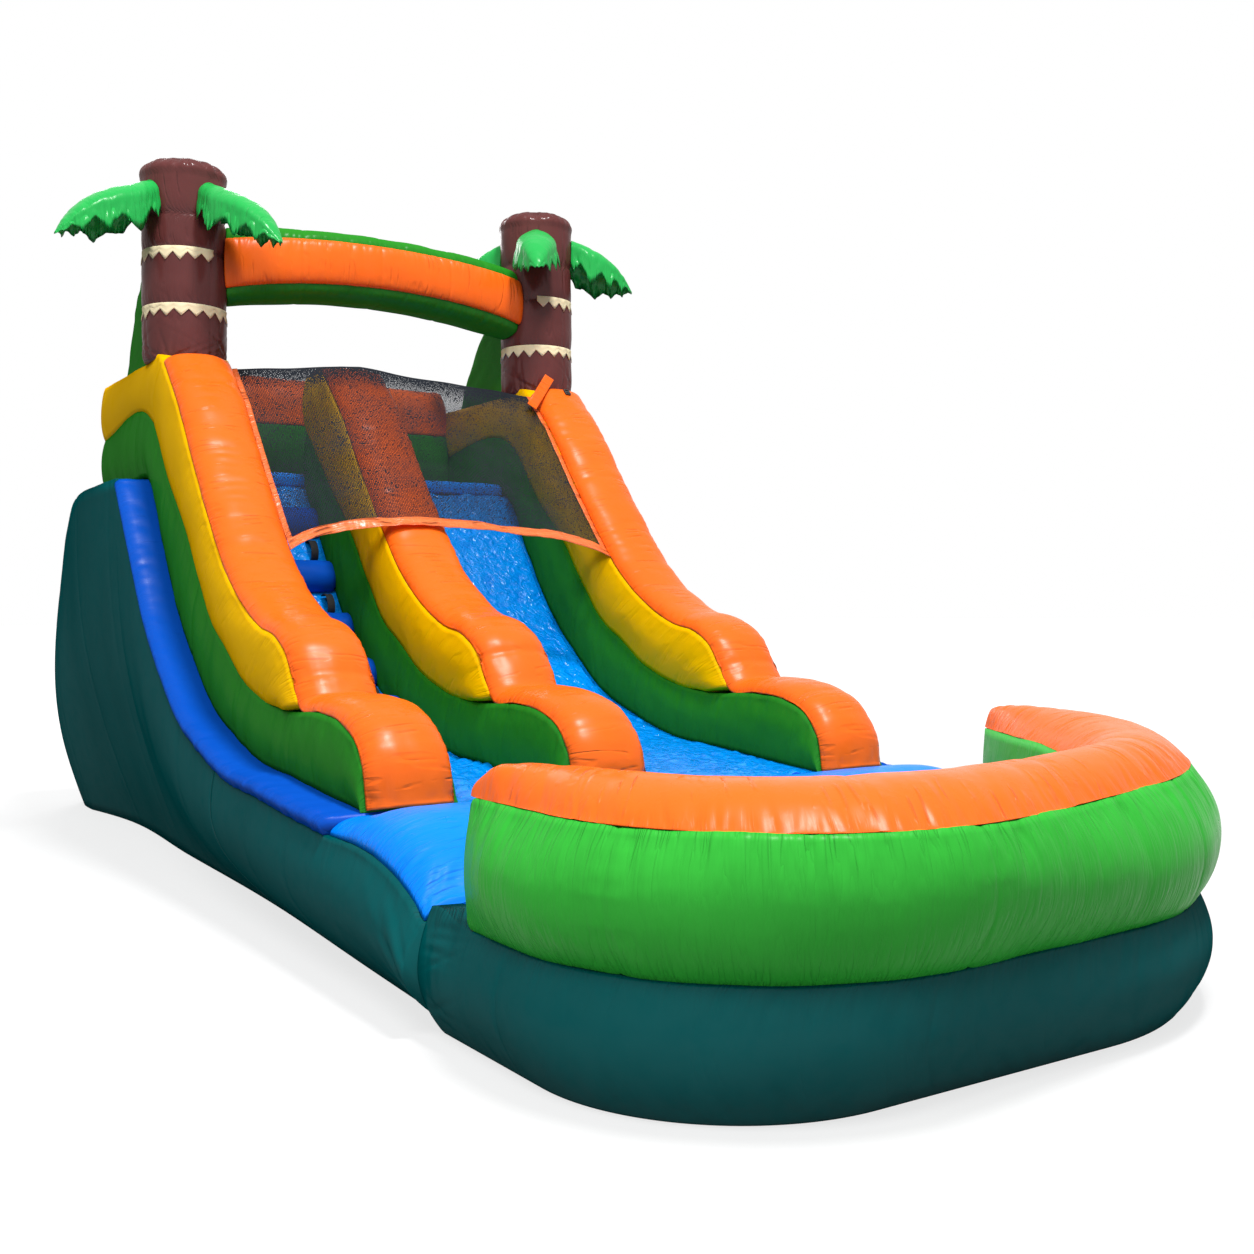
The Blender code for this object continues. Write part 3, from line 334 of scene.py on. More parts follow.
def past(tree, value, low, factor):  # how far the value is past low, times the factor
    return mathNode(tree, "MULTIPLY", mathNode(tree, "SUBTRACT", value, low), factor)


def ridged(tree, noise):  # how far a noise is from its middle
    return mathNode(tree, "ABSOLUTE", mathNode(tree, "SUBTRACT", noise, 0.5))


def noiseNode(tree, vector, scale, detail=3.0, roughness=0.5, distortion=0.0):
    sizes = {"Scale": scale, "Detail": detail, "Roughness": roughness, "Distortion": distortion}
    return addNode(tree, "TexNoise", {"Vector": vector, **sizes}).outputs["Fac"]


def mixColours(tree, factor, first, second):
    inputs = {"Factor": factor, "A": first, "B": second}
    return addNode(tree, "Mix", inputs, data_type="RGBA").outputs["Result"]


def pieceMap(tree):  # the piece's own map, in metres along and across its rows
    return addNode(tree, "UVMap", uv_map="skin").outputs["UV"]


def objectSpot(tree):
    return addNode(tree, "TexCoord").outputs["Object"]


def newGroup(name, inputs, outputs):
    group = bpy.data.node_groups.new(name, "ShaderNodeTree")
    for key, value in inputs.items():
        kind = "NodeSocketColor" if isinstance(value, tuple) else "NodeSocketFloat"
        group.interface.new_socket(key, in_out="INPUT", socket_type=kind).default_value = value
    for key, kind in outputs.items():
        group.interface.new_socket(key, in_out="OUTPUT", socket_type="NodeSocket" + kind)
    return group, group.nodes.new("NodeGroupInput").outputs, group.nodes.new("NodeGroupOutput").inputs


def creaseGroup():  # fine puckers along the seams, as a height from the piece's own map
    inputs = {"Pitch": 26.0, "Reach": 0.08, "Crown": 0.5}
    group, values, result = newGroup("seamCreases", inputs, {"Height": "Float", "Near": "Float"})
    maths = partial(mathNode, group)
    spot = pieceMap(group)
    split = addNode(group, "SeparateXYZ", {0: spot}).outputs

    def stretched(alongScale, acrossScale):
        along = maths("MULTIPLY", split["X"], alongScale)
        across = maths("MULTIPLY", split["Y"], acrossScale)
        return addNode(group, "CombineXYZ", {"X": along, "Y": across}).outputs[0]

    waves = noiseNode(group, stretched(values["Pitch"], 3.0), 1.0, 2.0, 0.55, 0.25)
    ridge = maths("POWER", maths("MULTIPLY", ridged(group, waves), 2.0), 0.6)
    seamGap = addNode(group, "Attribute", attribute_name="seamGap").outputs["Fac"]
    near = maths("EXPONENT", maths("MULTIPLY", maths("DIVIDE", seamGap, values["Reach"]), -1.0))
    # Short wrinkles across the crown, where a slow noise crosses its middle, shown in patches.
    slow = noiseNode(group, stretched(11.0, 1.6), 1.0, 1.0, 0.5, 0.15)
    line = maths("SUBTRACT", 1.0, maths("MULTIPLY", ridged(group, slow), 22.0))
    patch = withinOne(group, past(group, noiseNode(group, spot, 6.0, 2.0), 0.47, 7.0))
    crown = maths("MULTIPLY", maths("MULTIPLY", maths("MAXIMUM", line, 0.0), patch), values["Crown"])
    feed(group, result["Height"], maths("SUBTRACT", maths("MULTIPLY", ridge, near), crown))
    # Near also paints shade at the seams, through the cloth's colour.
    feed(group, result["Near"], near)
    return group


def coatedGroup():  # coated cloth: slow waves, fine woven grain, handling marks that dull the gloss, a slow random darkening of the colour, and painted shade at the seams and in the crumpled folds
    inputs = {
        "Colour": (1, 1, 1, 1), "Deep": (0, 0, 0, 1), "Near": 0.0,
        "Smoothness": 0.3, "Wave Scale": 3.0, "Crumple": 0.0,
    }
    outputs = {"Colour": "Color", "Roughness": "Float", "Gloss": "Float", "Height": "Float"}
    group, values, result = newGroup("coatedCloth", inputs, outputs)
    maths = partial(mathNode, group)
    spot = objectSpot(group)
    slow = noiseNode(group, spot, 1.3, 3.0, 0.55)
    marks = noiseNode(group, spot, 9.0, 6.0, 0.6, 0.4)
    folds = ridged(group, noiseNode(group, spot, 9.0, 2.0, 0.45, 0.6))
    small = ridged(group, noiseNode(group, spot, 27.0, 2.0, 0.5, 0.5))
    folds = maths("MULTIPLY", maths("ADD", folds, maths("MULTIPLY", small, 0.35)), values["Crumple"])
    # Painted shade: the colour turns towards Deep near the seams (Near) and in the crumpled folds, on top
    # of a slow random tone.
    shade = maths("ADD", past(group, slow, 0.35, 0.5), maths("MULTIPLY", values["Near"], 0.28))
    shade = withinOne(group, maths("ADD", shade, maths("MULTIPLY", folds, 0.45)))
    feed(group, result["Colour"], mixColours(group, shade, values["Colour"], values["Deep"]))
    rough = maths("ADD", past(group, marks, 0.5, 0.28), values["Smoothness"])
    feed(group, result["Roughness"], maths("ADD", rough, maths("MULTIPLY", values["Near"], 0.08)))
    dull = withinOne(group, past(group, marks, 0.45, 2.2))
    feed(group, result["Gloss"], maths("SUBTRACT", 1.0, maths("MULTIPLY", dull, 0.45)))
    grain = addNode(group, "TexVoronoi", {"Scale": 420.0, "Vector": spot}).outputs["Distance"]
    waves = noiseNode(group, spot, values["Wave Scale"])
    height = maths("ADD", maths("MULTIPLY", grain, 0.004), waves)
    feed(group, result["Height"], maths("SUBTRACT", height, folds))
    return group


seamCreases = creaseGroup()
coatedCloth = coatedGroup()


def newMaterial(name):
    made = bpy.data.materials.new(name)
    made.use_nodes = True
    return made, made.node_tree, made.node_tree.nodes["Principled BSDF"].inputs


def placedGroup(tree, group, values):
    node = tree.nodes.new("ShaderNodeGroup")
    node.node_tree = group
    for key, value in values.items():
        feed(tree, node.inputs[key], value)
    return node.outputs


vinylLook = {  # what a vinyl has unless its own values say otherwise
    "smooth": 0.3, "gloss": 0.6, "coatRough": 0.24, "shine": 0.0,
    "pitch": 28.0, "reach": 0.05, "crease": 0.006, "crown": 0.35,
    "wave": 0.012, "waveScale": 3.0, "crumple": 0.0,
}


def vinyl(name, colour, deep, **changes):
    look = {**vinylLook, **changes}
    made, tree, shader = newMaterial(name)
    maths = partial(mathNode, tree)
    lines = {"Pitch": look["pitch"], "Reach": look["reach"], "Crown": look["crown"]}
    lines = placedGroup(tree, seamCreases, lines)
    # Deep is the darker end of the colour: the slow random tone, and the painted shade at the seams and in
    # the folds.
    cloth = placedGroup(tree, coatedCloth, {
        "Colour": (*colour, 1), "Deep": (*deep, 1), "Smoothness": look["smooth"],
        "Wave Scale": look["waveScale"], "Crumple": look["crumple"], "Near": lines["Near"],
    })
    feed(tree, shader["Base Color"], cloth["Colour"])
    feed(tree, shader["Roughness"], cloth["Roughness"])
    soft = addNode(tree, "Bump", {"Distance": look["wave"], "Height": cloth["Height"]}).outputs["Normal"]
    fine = addNode(tree, "Bump", {"Distance": look["crease"], "Height": lines["Height"], "Normal": soft})
    feed(tree, shader["Normal"], fine.outputs["Normal"])
    # The shine fades towards grazing views, where a plain dielectric would veil the colour.
    facing = addNode(tree, "LayerWeight", {"Blend": 0.5}).outputs["Facing"]
    straight = maths("POWER", maths("SUBTRACT", 1.0, facing), 1.3)
    gleam = maths("MULTIPLY", maths("MULTIPLY", straight, cloth["Gloss"]), look["gloss"])
    feed(tree, shader["Coat Weight"], gleam)
    shader["Coat Roughness"].default_value = look["coatRough"]
    shader["Specular IOR Level"].default_value = look["shine"]
    return made


orange = vinyl("orangeVinyl", (1.0, 0.155, 0.010), (0.86, 0.095, 0.006),
               smooth=0.27, gloss=0.5, coatRough=0.33, crown=0.8, shine=0.05)
yellow = vinyl("yellowVinyl", (1.0, 0.56, 0.0), (0.97, 0.47, 0.0), gloss=0.25, coatRough=0.3)
green = vinyl("greenVinyl", (0.025, 0.26, 0.018), (0.006, 0.14, 0.010), gloss=0.3, coatRough=0.3, crown=0.2)
lime = vinyl("limeVinyl", (0.045, 0.54, 0.05), (0.014, 0.30, 0.025),
             gloss=0.25, coatRough=0.32, reach=0.12, crease=0.012, crown=0.1, shine=0.03)
teal = vinyl("tealVinyl", (0.0, 0.11, 0.115), (0.0, 0.050, 0.054),
             gloss=0.32, coatRough=0.32, waveScale=2.0, crown=0.15)
blue = vinyl("blueVinyl", (0.004, 0.09, 0.56), (0.0, 0.045, 0.34), gloss=0.3, coatRough=0.3)
bright = vinyl("brightVinyl", (0.0, 0.26, 1.0), (0.0, 0.14, 0.80),
               gloss=0.3, coatRough=0.5, crease=0.010, reach=0.12, shine=0.04)
# Its crumple paints shade into the fold valleys, darkening the colour there.
crumpled = vinyl("crumpledVinyl", (0.0, 0.31, 1.0), (0.0, 0.17, 0.78),
                 smooth=0.15, gloss=0.3, wave=0.011, crumple=4.0, crown=0.0, shine=0.3)
# A darker copy of the bright vinyl for the pool floor: painted shade for the floor's place down inside the
# pool.
shadedPoolBlue = vinyl("shadedPoolVinyl", (0.0, 0.10, 0.50), (0.0, 0.04, 0.28), crumple=1.0)
brown = vinyl("brownVinyl", (0.135, 0.036, 0.034), (0.06, 0.016, 0.017),
              gloss=0.45, coatRough=0.2, reach=0.06, crease=0.009, crown=0.5, shine=0.03)
leafGreen = vinyl("frondVinyl", (0.02, 0.46, 0.085), (0.003, 0.18, 0.03),
                  gloss=0.45, coatRough=0.22, crown=0.6, shine=0.06)
cream = vinyl("creamVinyl", (0.88, 0.76, 0.50), (0.70, 0.56, 0.34), gloss=0.15, crown=0.2)
print("materials ready")


# Rails: an orange cap, a yellow band and a green wall each

railLook = {
    "spacing": 0.014,  # between rows of points
    "crown": 0.09,  # the cap's height over its seams
    "crownSquare": 2.3,  # how square the crown's section is
    "bandBulge": 0.030,
    "wallBulge": 0.026,
    "capColumns": 27,
    "sideColumns": 13,
    "cornerOff": 0.05,  # from the cap's start to the corner at the trunk
    "outerRunIn": 0.3, "middleRunIn": 0.1,  # level stretch behind that corner
    "capSeamShares": (0.215, 0.335, 0.47, 0.585, 0.665, 0.715, 0.80, 0.93),
    "neckShare": 0.715,
    "wallSeamShares": (0.18, 0.34, 0.50, 0.66, 0.82),
    # Pitch, depth and reach of each set of puckers.
    "capCreases": ((0.05, 0.009, 0.05), (0.17, 0.004, 0.16)),
    "noseCreases": ((0.04, 0.012, 0.10), (0.12, 0.012, 0.16)),
    "neckCreases": (0.045, 0.008, 0.08),
    "crownCreases": (0.085, 0.009, 0.14),
    "bandCreases": ((0.06, 0.009, 0.06), (0.2, 0.005, 0.12)),
    "mitreCreases": (0.05, 0.006, 0.06),
    "wallCreases": ((0.07, 0.010, 0.07), (0.24, 0.006, 0.14)),
    "wave": 0.002, "wavePitch": 0.3,
}


def capLine(side):
    line = list(seamLine)
    if side == "middle":
        start = slide["capStart"] + railLook["cornerOff"]
        line = [(slide["middleBack"], slide["top"]), (start, slide["top"]), *line]
    return curveThrough(line, railLook["spacing"])


def railCap(side, seed):
    line = capLine(side)
    normal = turnedOut(line)
    half, crown, columns = slide["railHalf"], railLook["crown"], railLook["capColumns"]
    angles = np.linspace(math.pi, 0, columns)
    across = np.sign(np.cos(angles)) * np.abs(np.cos(angles)) ** 0.92
    rise = (1 - np.abs(across) ** railLook["crownSquare"]) ** 0.5
    across = np.concatenate([across, [0.5, 0.0, -0.5, -1.0]])  # back along the underside
    rise = np.concatenate([rise, np.zeros(4)])
    shown = np.arange(len(across)) < columns
    level = np.clip((line[:, :1] - slide["capStart"]) / 0.08, 0, 1) if side == "middle" else 0
    lift = slide["clear"] + crown * (1 - 0.75 * level) * rise
    y, z = (line[:, i : i + 1] + normal[:, i : i + 1] * lift for i in (0, 1))
    places = layOut(railX[side] + half * across, y, z)
    down, girth = runsOf(places)
    gap = (half * (1 - np.abs(across)) + crown * rise * 0.6) * np.ones_like(down)
    length = down[-1, 0]
    shape = creases(down, gap, railLook["capCreases"], seed)
    shape += seamPull(gap, 0.003, 0.010)
    shape += panelSeams(down, girth, shared(down, railLook["capSeamShares"]), 0.004, seed + 2, 0.07)
    neck = np.abs(down - length * railLook["neckShare"])
    shape += seamPull(neck, 0.010, 0.03) + puckers(girth, neck, *railLook["neckCreases"], seed + 30)
    shape += 0.0022 * ripple(down, girth, railLook["wavePitch"], seed + 40)
    # Cross wrinkles over the crown, in patches.
    patches = np.clip(0.5 + 0.8 * ripple(down, girth * 0.2, 0.8, seed + 60, 5), 0, 1)
    middle = half * np.abs(across) + 0 * down
    shape += puckers(down, middle + 0.04, *railLook["crownCreases"], seed + 61, 0.15) * patches
    shape += creases(girth, np.abs(down - length), railLook["noseCreases"], seed + 50, 0.5)
    places = pushed(places, shape * shown)
    return skin("railCap_" + side, places, gap, orange, ["rail_cap_" + side], "orange_vinyl")


def sideStrip(upper, lower, centreX, bulge):  # a puffed strip on both sides of a rail
    columns = railLook["sideColumns"]
    s = np.linspace(0, 1, columns)
    y, z = (upper[:, i : i + 1] * (1 - s) + lower[:, i : i + 1] * s for i in (0, 1))
    right = layOut(centreX + slide["railHalf"] + bulge * np.sin(np.pi * s) ** 0.75, y, z)
    left = right[:, ::-1] * (-1, 1, 1) + (2 * centreX, 0, 0)
    middle = right * (0, 1, 1) + (centreX, 0, 0)
    places = np.concatenate([middle[:, :1], right, middle[:, -1:], left, middle[:, :1]], axis=1)
    sideGap = np.minimum(s, 1 - s) * np.linalg.norm(upper - lower, axis=1)[:, None]
    zero = np.zeros((len(upper), 1))
    gap = np.concatenate([zero, sideGap, zero, sideGap[:, ::-1], zero], axis=1)
    shown = np.concatenate([[0], np.ones(columns), [0], np.ones(columns), [0]])
    return places, gap, shown


def railSides(side, seed):
    spacing, wave, wavePitch = (railLook[key] for key in ("spacing", "wave", "wavePitch"))
    outer = side != "middle"
    back = slide["boxBack"] if outer else slide["middleBack"]
    endRound = 0.10 if outer else 0.0
    corner = slide["capStart"] + railLook["cornerOff"]
    runIn = railLook["outerRunIn"] if outer else railLook["middleRunIn"]
    # The yellow band: its upper edge is the cap's seam, its lower edge the wall's.
    upper = [(y, slide["top"]) for y in (back, corner + runIn, corner)]
    upper = curveThrough([*upper, *seamLine[: noseStart + 1]], spacing)
    bandEdge = [(back, slide["bandLow"]), *(bandLine if outer else bandLine[1:])]
    lower = curveThrough(bandEdge, spacing)
    # Pairs rows by place, so that the corner at the trunk stays square to the slope.
    upperShares = arcPlaces(upper) / arcPlaces(upper)[-1]
    lowerPlaces = arcPlaces(lower)
    cornerUpper = np.interp(-corner, -upper[:, 0], upperShares)
    cornerLower = np.interp(-bandLine[0][0], -lower[:, 0], lowerPlaces / lowerPlaces[-1])
    goals = np.interp(upperShares, [0, cornerUpper, 1], [0, cornerLower, 1]) if outer else upperShares
    lower = np.stack([np.interp(goals * lowerPlaces[-1], lowerPlaces, lower[:, i]) for i in (0, 1)], axis=1)
    places, gap, shown = sideStrip(upper, lower, railX[side], railLook["bandBulge"])
    down, girth = runsOf(places)
    shape = creases(down, gap, railLook["bandCreases"], seed)
    if outer:
        mitre = np.abs(down - down[-1, 0] * cornerUpper)
        shape += seamPull(mitre, 0.008, 0.014) + puckers(girth, mitre, *railLook["mitreCreases"], seed + 2)
    shape += wave * ripple(down, girth, wavePitch, seed + 3)
    places = pushed(roundEnds(places, endRound, 0.05, 0.35), shape * shown)
    skin("railBand_" + side, places, gap, yellow, ["rail_band_" + side], "yellow_vinyl")
    # The green wall: under the band, then under the cap's nose, down to the bed.
    upper = curveThrough([*bandEdge, *seamLine[noseStart + 1 : -1]], spacing)
    upper = np.concatenate([upper, evenly([upper[-1], seamLine[-1]], 8)[1:]])
    lower = [(back, slide["deckLow"] if outer else heightOn(bedLine, back))]
    if outer:
        lower.append((slide["bedBack"] + 0.4, slide["deckLow"]))
    lower += [point for point in bedLine if point[0] < back]
    lower = evenly(curveThrough(lower, spacing), len(upper))
    lower[:, 1] += slide["clear"]
    upper[:, 1] -= slide["clear"]
    places, gap, shown = sideStrip(upper, lower, railX[side], railLook["wallBulge"])
    down, girth = runsOf(places)
    shape = creases(down, gap, railLook["wallCreases"], seed + 5)
    shape += panelSeams(down, girth, shared(down, railLook["wallSeamShares"]), 0.006, seed + 7)
    shape += wave * ripple(down, girth, wavePitch, seed + 20)
    thin = np.clip(np.linalg.norm(upper - lower, axis=1) / 0.2, 0, 1)[:, None]
    places = pushed(roundEnds(places, endRound, 0.0, 0.2), shape * shown * thin)
    skin("railWall_" + side, places, gap, green, ["rail_wall_" + side], "green_vinyl")


for number, side in enumerate(railX):
    railCap(side, 100 + 100 * number)
    railSides(side, 150 + 100 * number)
print("rails ready")


# Base chambers: the tower, the run-out and its cushion, and the blue bed on them

baseLook = {
    "seamHalf": 1.72,
    "bulge": 0.15,
    "split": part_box("tower_base")[0].y,
    "back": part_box("tower_base")[1].y,
    "junction": -4.45,  # where the run-out meets the pool's base
    "bedThickness": 0.08,
    "spacing": 0.03,
    "sideColumns": 31,
    "flatColumns": 7,  # over the top, and under the foot
    "pinchShare": 0.10,
    "towerSeams": (-1.25, 0.35, 1.45, 2.6),
    "frontSeams": (-2.45, -3.05, -3.65),
    # Pitch, depth and reach of each set of puckers, and the slant at the end.
    "topCreases": (0.07, 0.009, 0.09), "footCreases": (0.10, 0.008, 0.09),
    "slowCreases": (0.30, 0.003, 0.25), "seamCreases": (0.07, 0.004, 0.05),
    "endCreases": ((0.05, 0.012, 0.20, 0.5), (0.12, 0.010, 0.35, 0.4)),
}
footShares = [
    (-1.358, 0.919), (-0.983, 0.866), (-0.549, 0.802), (0.0, 0.762), (0.520, 0.727), (0.971, 0.855),
]
footLine = [(slide["run"] * run, baseLook["seamHalf"] * width) for run, width in footShares]
tailShares = [
    (0.20, 1.000, 1.00), (0.45, 0.985, 0.98), (0.62, 0.930, 0.94), (0.74, 0.860, 0.91),
    (0.84, 0.770, 0.87), (0.92, 0.650, 0.81), (0.97, 0.520, 0.74), (1.00, 0.400, 0.65),
]
runoutShares = [
    (0.00, 0.886, 0.989), (0.11, 0.886, 1.010), (0.28, 0.885, 1.075), (0.48, 0.862, 1.080),
    (0.68, 0.800, 1.000), (0.84, 0.715, 0.880), (0.98, 0.600, 0.700),
]
bedFront = bedLine[-1]
runoutReach = bedFront[0] - baseLook["junction"]
cushionUnder = [(bedFront[0] - runoutReach * run, bedFront[1] * low) for run, low, _ in runoutShares]
cushionOver = [(bedFront[0] - runoutReach * run, bedFront[1] * high) for run, _, high in runoutShares]


def baseSkin(name, rows, panels, seed, nodes):
    # Rows hold y, top, half width on the ground and half width at the seam.
    rows = evenly(rows, int(arcPlaces(np.array(rows))[-1] / baseLook["spacing"]))
    n, m = baseLook["sideColumns"], baseLook["flatColumns"]
    rise = np.linspace(0, 1, n)
    y, top, foot, seam = (rows[:, i : i + 1] for i in range(4))
    side = layOut(foot + (seam - foot) * rise + baseLook["bulge"] * np.sin(np.pi * rise), y, top * rise)
    mirror = side[:, ::-1] * (-1, 1, 1)
    inner = np.linspace(0.8, -0.8, m)
    over, under = layOut(seam * inner, y, top), layOut(-foot * inner, y, 0)
    places = np.concatenate([side, over, mirror, under, side[:, :1]], axis=1)
    shown = np.concatenate([np.ones(n), np.zeros(m), np.ones(n), np.zeros(m), [1]])
    up, low = top * (1 - rise), top * rise
    seamed, clear = np.zeros((len(rows), m)), np.ones((len(rows), m))
    gap = np.concatenate([up, seamed, up[:, ::-1], clear, up[:, :1]], axis=1)
    lowGap = np.concatenate([low, clear, low[:, ::-1], seamed, 0 * up[:, :1]], axis=1)
    down, girth = runsOf(places)
    calm = np.clip(lowGap / 0.06, 0, 1)  # the edge on the ground stays flat
    shape = puckers(down, gap, *baseLook["topCreases"], seed)
    shape += puckers(down, lowGap, *baseLook["footCreases"], seed + 1) * calm
    shape += puckers(down, gap, *baseLook["slowCreases"], seed + 2)
    for i, place in enumerate(panels):
        away = np.abs(places[..., 1] - place)
        shape += seamPull(away, 0.006, 0.012) + puckers(girth, away, *baseLook["seamCreases"], seed + 4 + i)
    shape += 0.002 * ripple(down, girth, 0.9, seed + 3)
    end = np.abs(down - down[-1, 0])
    endSets = enumerate(baseLook["endCreases"])
    shape += sum(puckers(girth, end, *sizes, seed + 9 + i, slant) for i, (*sizes, slant) in endSets)
    places = pushed(places, shape * shown * calm)
    places[..., 2] = np.maximum(places[..., 2], 0)
    return skin(name, places, gap, teal, nodes, "teal_vinyl")


bedCurve = curveThrough(bedLine, 0.02)
footCurve = curveThrough(footLine, 0.05)


def baseRow(y, height):
    return y, height, heightOn(footCurve, y), baseLook["seamHalf"]


def bedRows(start, end):  # the base's rows under the bed
    thickness = baseLook["bedThickness"]
    return [baseRow(y, heightOn(bedCurve, y) - thickness) for y in np.linspace(start, end, 60)]


def towerBase():
    back, low = slide["bedBack"], slide["deckLow"]
    rows = bedRows(baseLook["split"], back)
    rows.append((back + 0.01, *baseRow(back, low)[1:]))
    for run, rise, width in curveThrough([(0.1, 1.0, 1.0), *tailShares], 0.01):
        y, _, foot, seam = baseRow(baseLook["back"] * run, low)
        rows.append((y, low * rise, foot * min(1.0, width + baseLook["pinchShare"]), seam * width))
    baseSkin("towerBase", rows, baseLook["towerSeams"], 500, ["tower_base"])


def frontBase():
    rows = bedRows(baseLook["split"] - 0.001, bedFront[0])
    rows += [baseRow(y, z) for y, z in curveThrough(cushionUnder, 0.02)[1:]]
    rows.append((baseLook["junction"] + 0.0004, *baseRow(baseLook["junction"], cushionUnder[-1][1])[1:]))
    baseSkin("frontBase", rows, baseLook["frontSeams"], 520, ["front_base"])


towerBase()
frontBase()
print("base ready")


# Pool: a rounded base, a green wall and an orange rim, open towards the slide

poolLook = {
    "half": 1.70,
    "front": -6.24,
    "groove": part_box("pool_base")[1].z,
    "rimSeam": 0.92,
    "armRise": 0.055,
    "armStartShare": 0.45, "armRampShare": 0.35,
    "crown": 0.13, "crownShare": 1.1,
    "bulge": 0.10, "baseBulge": 0.085, "innerBulge": 0.03,
    "leftTip": -4.72, "rightTip": -4.20,
    "rows": 820,
    "armMargin": 0.016,
    "peak": 0.045, "peakX": 1.66, "peakIn": 0.06, "peakReach": 0.13,
    "baseSeams": (0.6, 2.2, 4.4, 5.6),
    "wallSeamShares": (0.16, 0.37, 0.60, 0.80),
    "rimSeamShares": (0.12, 0.30, 0.47, 0.63, 0.79, 0.92),
    # Pitch, depth and reach of each set of puckers.
    "grooveCreases": ((0.05, 0.004, 0.08), (0.13, 0.005, 0.15)),
    "footCreases": (0.10, 0.008, 0.10),
    "cornerCreases": ((0.04, 0.012, 0.25), (0.08, 0.010, 0.30)),
    "highCreases": ((0.05, 0.009, 0.08), (0.11, 0.012, 0.16)),
    "lowCreases": ((0.05, 0.0025, 0.06), (0.15, 0.003, 0.14)),
    "rimOutCreases": ((0.05, 0.006, 0.13), (0.12, 0.008, 0.24)),
    "rimInCreases": ((0.05, 0.008, 0.10), (0.2, 0.005, 0.20)),
    "floorDomes": (  # share of the way out, share of the height
        (0.02, 1.0), (0.2, 0.98), (0.4, 1.0), (0.6, 0.97), (0.75, 1.0),
        (0.88, 0.95), (0.96, 0.8), (1.0, 0.4), (1.0, 0.0),
    ),
}
seamCornerShares = ((-0.400, 0.576, 0.012), (0.088, 0.906, 0.118))
grooveCornerShares = ((-0.406, 0.582, 0.076), (0.088, 0.906, 0.100))
contactCornerShares = ((-0.506, 0.453, 0.171), (0.171, 0.759, 0.171))
tipShares = (-0.953, 0.912)
innerShares = [
    (-0.765, 0.11), (-0.680, 0.32), (-0.560, 0.50), (-0.350, 0.575), (0.0, 0.595),
    (0.270, 0.56), (0.440, 0.45), (0.610, 0.21), (0.765, -0.08),
]


def poolOutline(cornerShares, leftY, rightY):  # the U in plan, from its left end to its right end
    half, front = poolLook["half"], poolLook["front"]
    corners = []
    for across, roundShare, inset in cornerShares:
        radius = half * roundShare
        corners.append((half * across, front + half * inset + radius, radius))
    (leftX, lowY, small), (rightX, highY, large) = corners
    gap = Vector((rightX - leftX, highY - lowY))
    lean = math.atan2(gap.y, gap.x) + math.asin((small - large) / gap.length)
    turn = 1.5 * math.pi + lean
    last = 2 * math.pi + min(0.0, math.asin((rightY - highY) / large))
    points = [(leftX - small, leftY)]
    for (x, y, radius), start, end in ((corners[0], math.pi, turn), (corners[1], turn, last)):
        for angle in np.linspace(start, end, 40):
            points.append((x + radius * math.cos(angle), y + radius * math.sin(angle)))
    if rightY > highY:
        points.append((rightX + large, rightY))
    return evenly(points, poolLook["rows"])


def poolInner():
    half, tip = poolLook["half"], poolLook["leftTip"]
    reach = tip - poolLook["front"]
    middle = [(half * x, tip - reach * y) for x, y in innerShares]
    left, right = (half * share for share in tipShares)
    line = curveThrough([(left, tip), *middle, (right, poolLook["rightTip"])], 0.02)
    return evenly(line, poolLook["rows"])


def poolSeam(cornerShares):  # an outer line of the wall, with its tips
    return poolOutline(cornerShares, poolLook["leftTip"], poolLook["rightTip"])


def pushedPlan(points, amount):
    steps = np.gradient(points, axis=0)
    steps /= np.linalg.norm(steps, axis=1)[:, None]
    return points + np.stack([steps[:, 1], -steps[:, 0]], axis=1) * amount


def rimSeamHeights():
    share = (np.linspace(0, 1, poolLook["rows"]) - poolLook["armStartShare"]) / poolLook["armRampShare"]
    return poolLook["rimSeam"] + poolLook["armRise"] * np.clip(share, 0, 1)


def poolBase():
    groove, count = poolLook["groove"], poolLook["rows"]
    back = baseLook["junction"] - 0.0003
    low, high = (poolOutline(shares, back, back) for shares in (contactCornerShares, grooveCornerShares))
    rows = []
    for share in np.linspace(0, 1, 45):
        bulge = poolLook["baseBulge"] * math.sin(math.pi * share) ** 0.85
        line = pushedPlan(low + (high - low) * share, bulge)
        line[0, 1] = line[-1, 1] = back
        line[:, 1] = np.minimum(line[:, 1], back)
        plan = np.concatenate([line, evenly([line[-1], line[0]], 24)[1:]])
        # The two back corners stand up in a pinched peak.
        corner = np.hypot(np.abs(plan[:, 0]) - poolLook["peakX"], plan[:, 1] - back + poolLook["peakIn"])
        peak = poolLook["peak"] * np.exp(-((corner / poolLook["peakReach"]) ** 2)) * share**4
        rows.append(np.concatenate([plan, (groove * share + peak)[:, None]], axis=1))
    places = np.array(rows)
    down, around = runsOf(places)
    lift = places[..., 2]
    gap = groove - lift
    spot = np.arange(places.shape[1])
    shown = (spot >= 3) * (spot < count - 3) * np.clip(np.minimum(spot, count - spot) / 20, 0, 1)
    shape = creases(around, gap, poolLook["grooveCreases"], 700)
    shape += puckers(around, lift, *poolLook["footCreases"], 702)
    corner = np.minimum(around, around[0, count - 1] - around)
    upright, level = poolLook["cornerCreases"]
    shape += puckers(down, corner, *upright, 707, 0.5) + puckers(around, corner, *level, 708)
    shape += panelSeams(around, down, poolLook["baseSeams"], 0.005, 703, 0.06)
    shape += 0.002 * ripple(around, down, 0.7, 706)
    places = pushed(places, shape * shown * np.clip(lift / 0.05, 0, 1))
    return skin("poolBase", places, gap, teal, ["pool_base"], "teal_vinyl", turned=True)


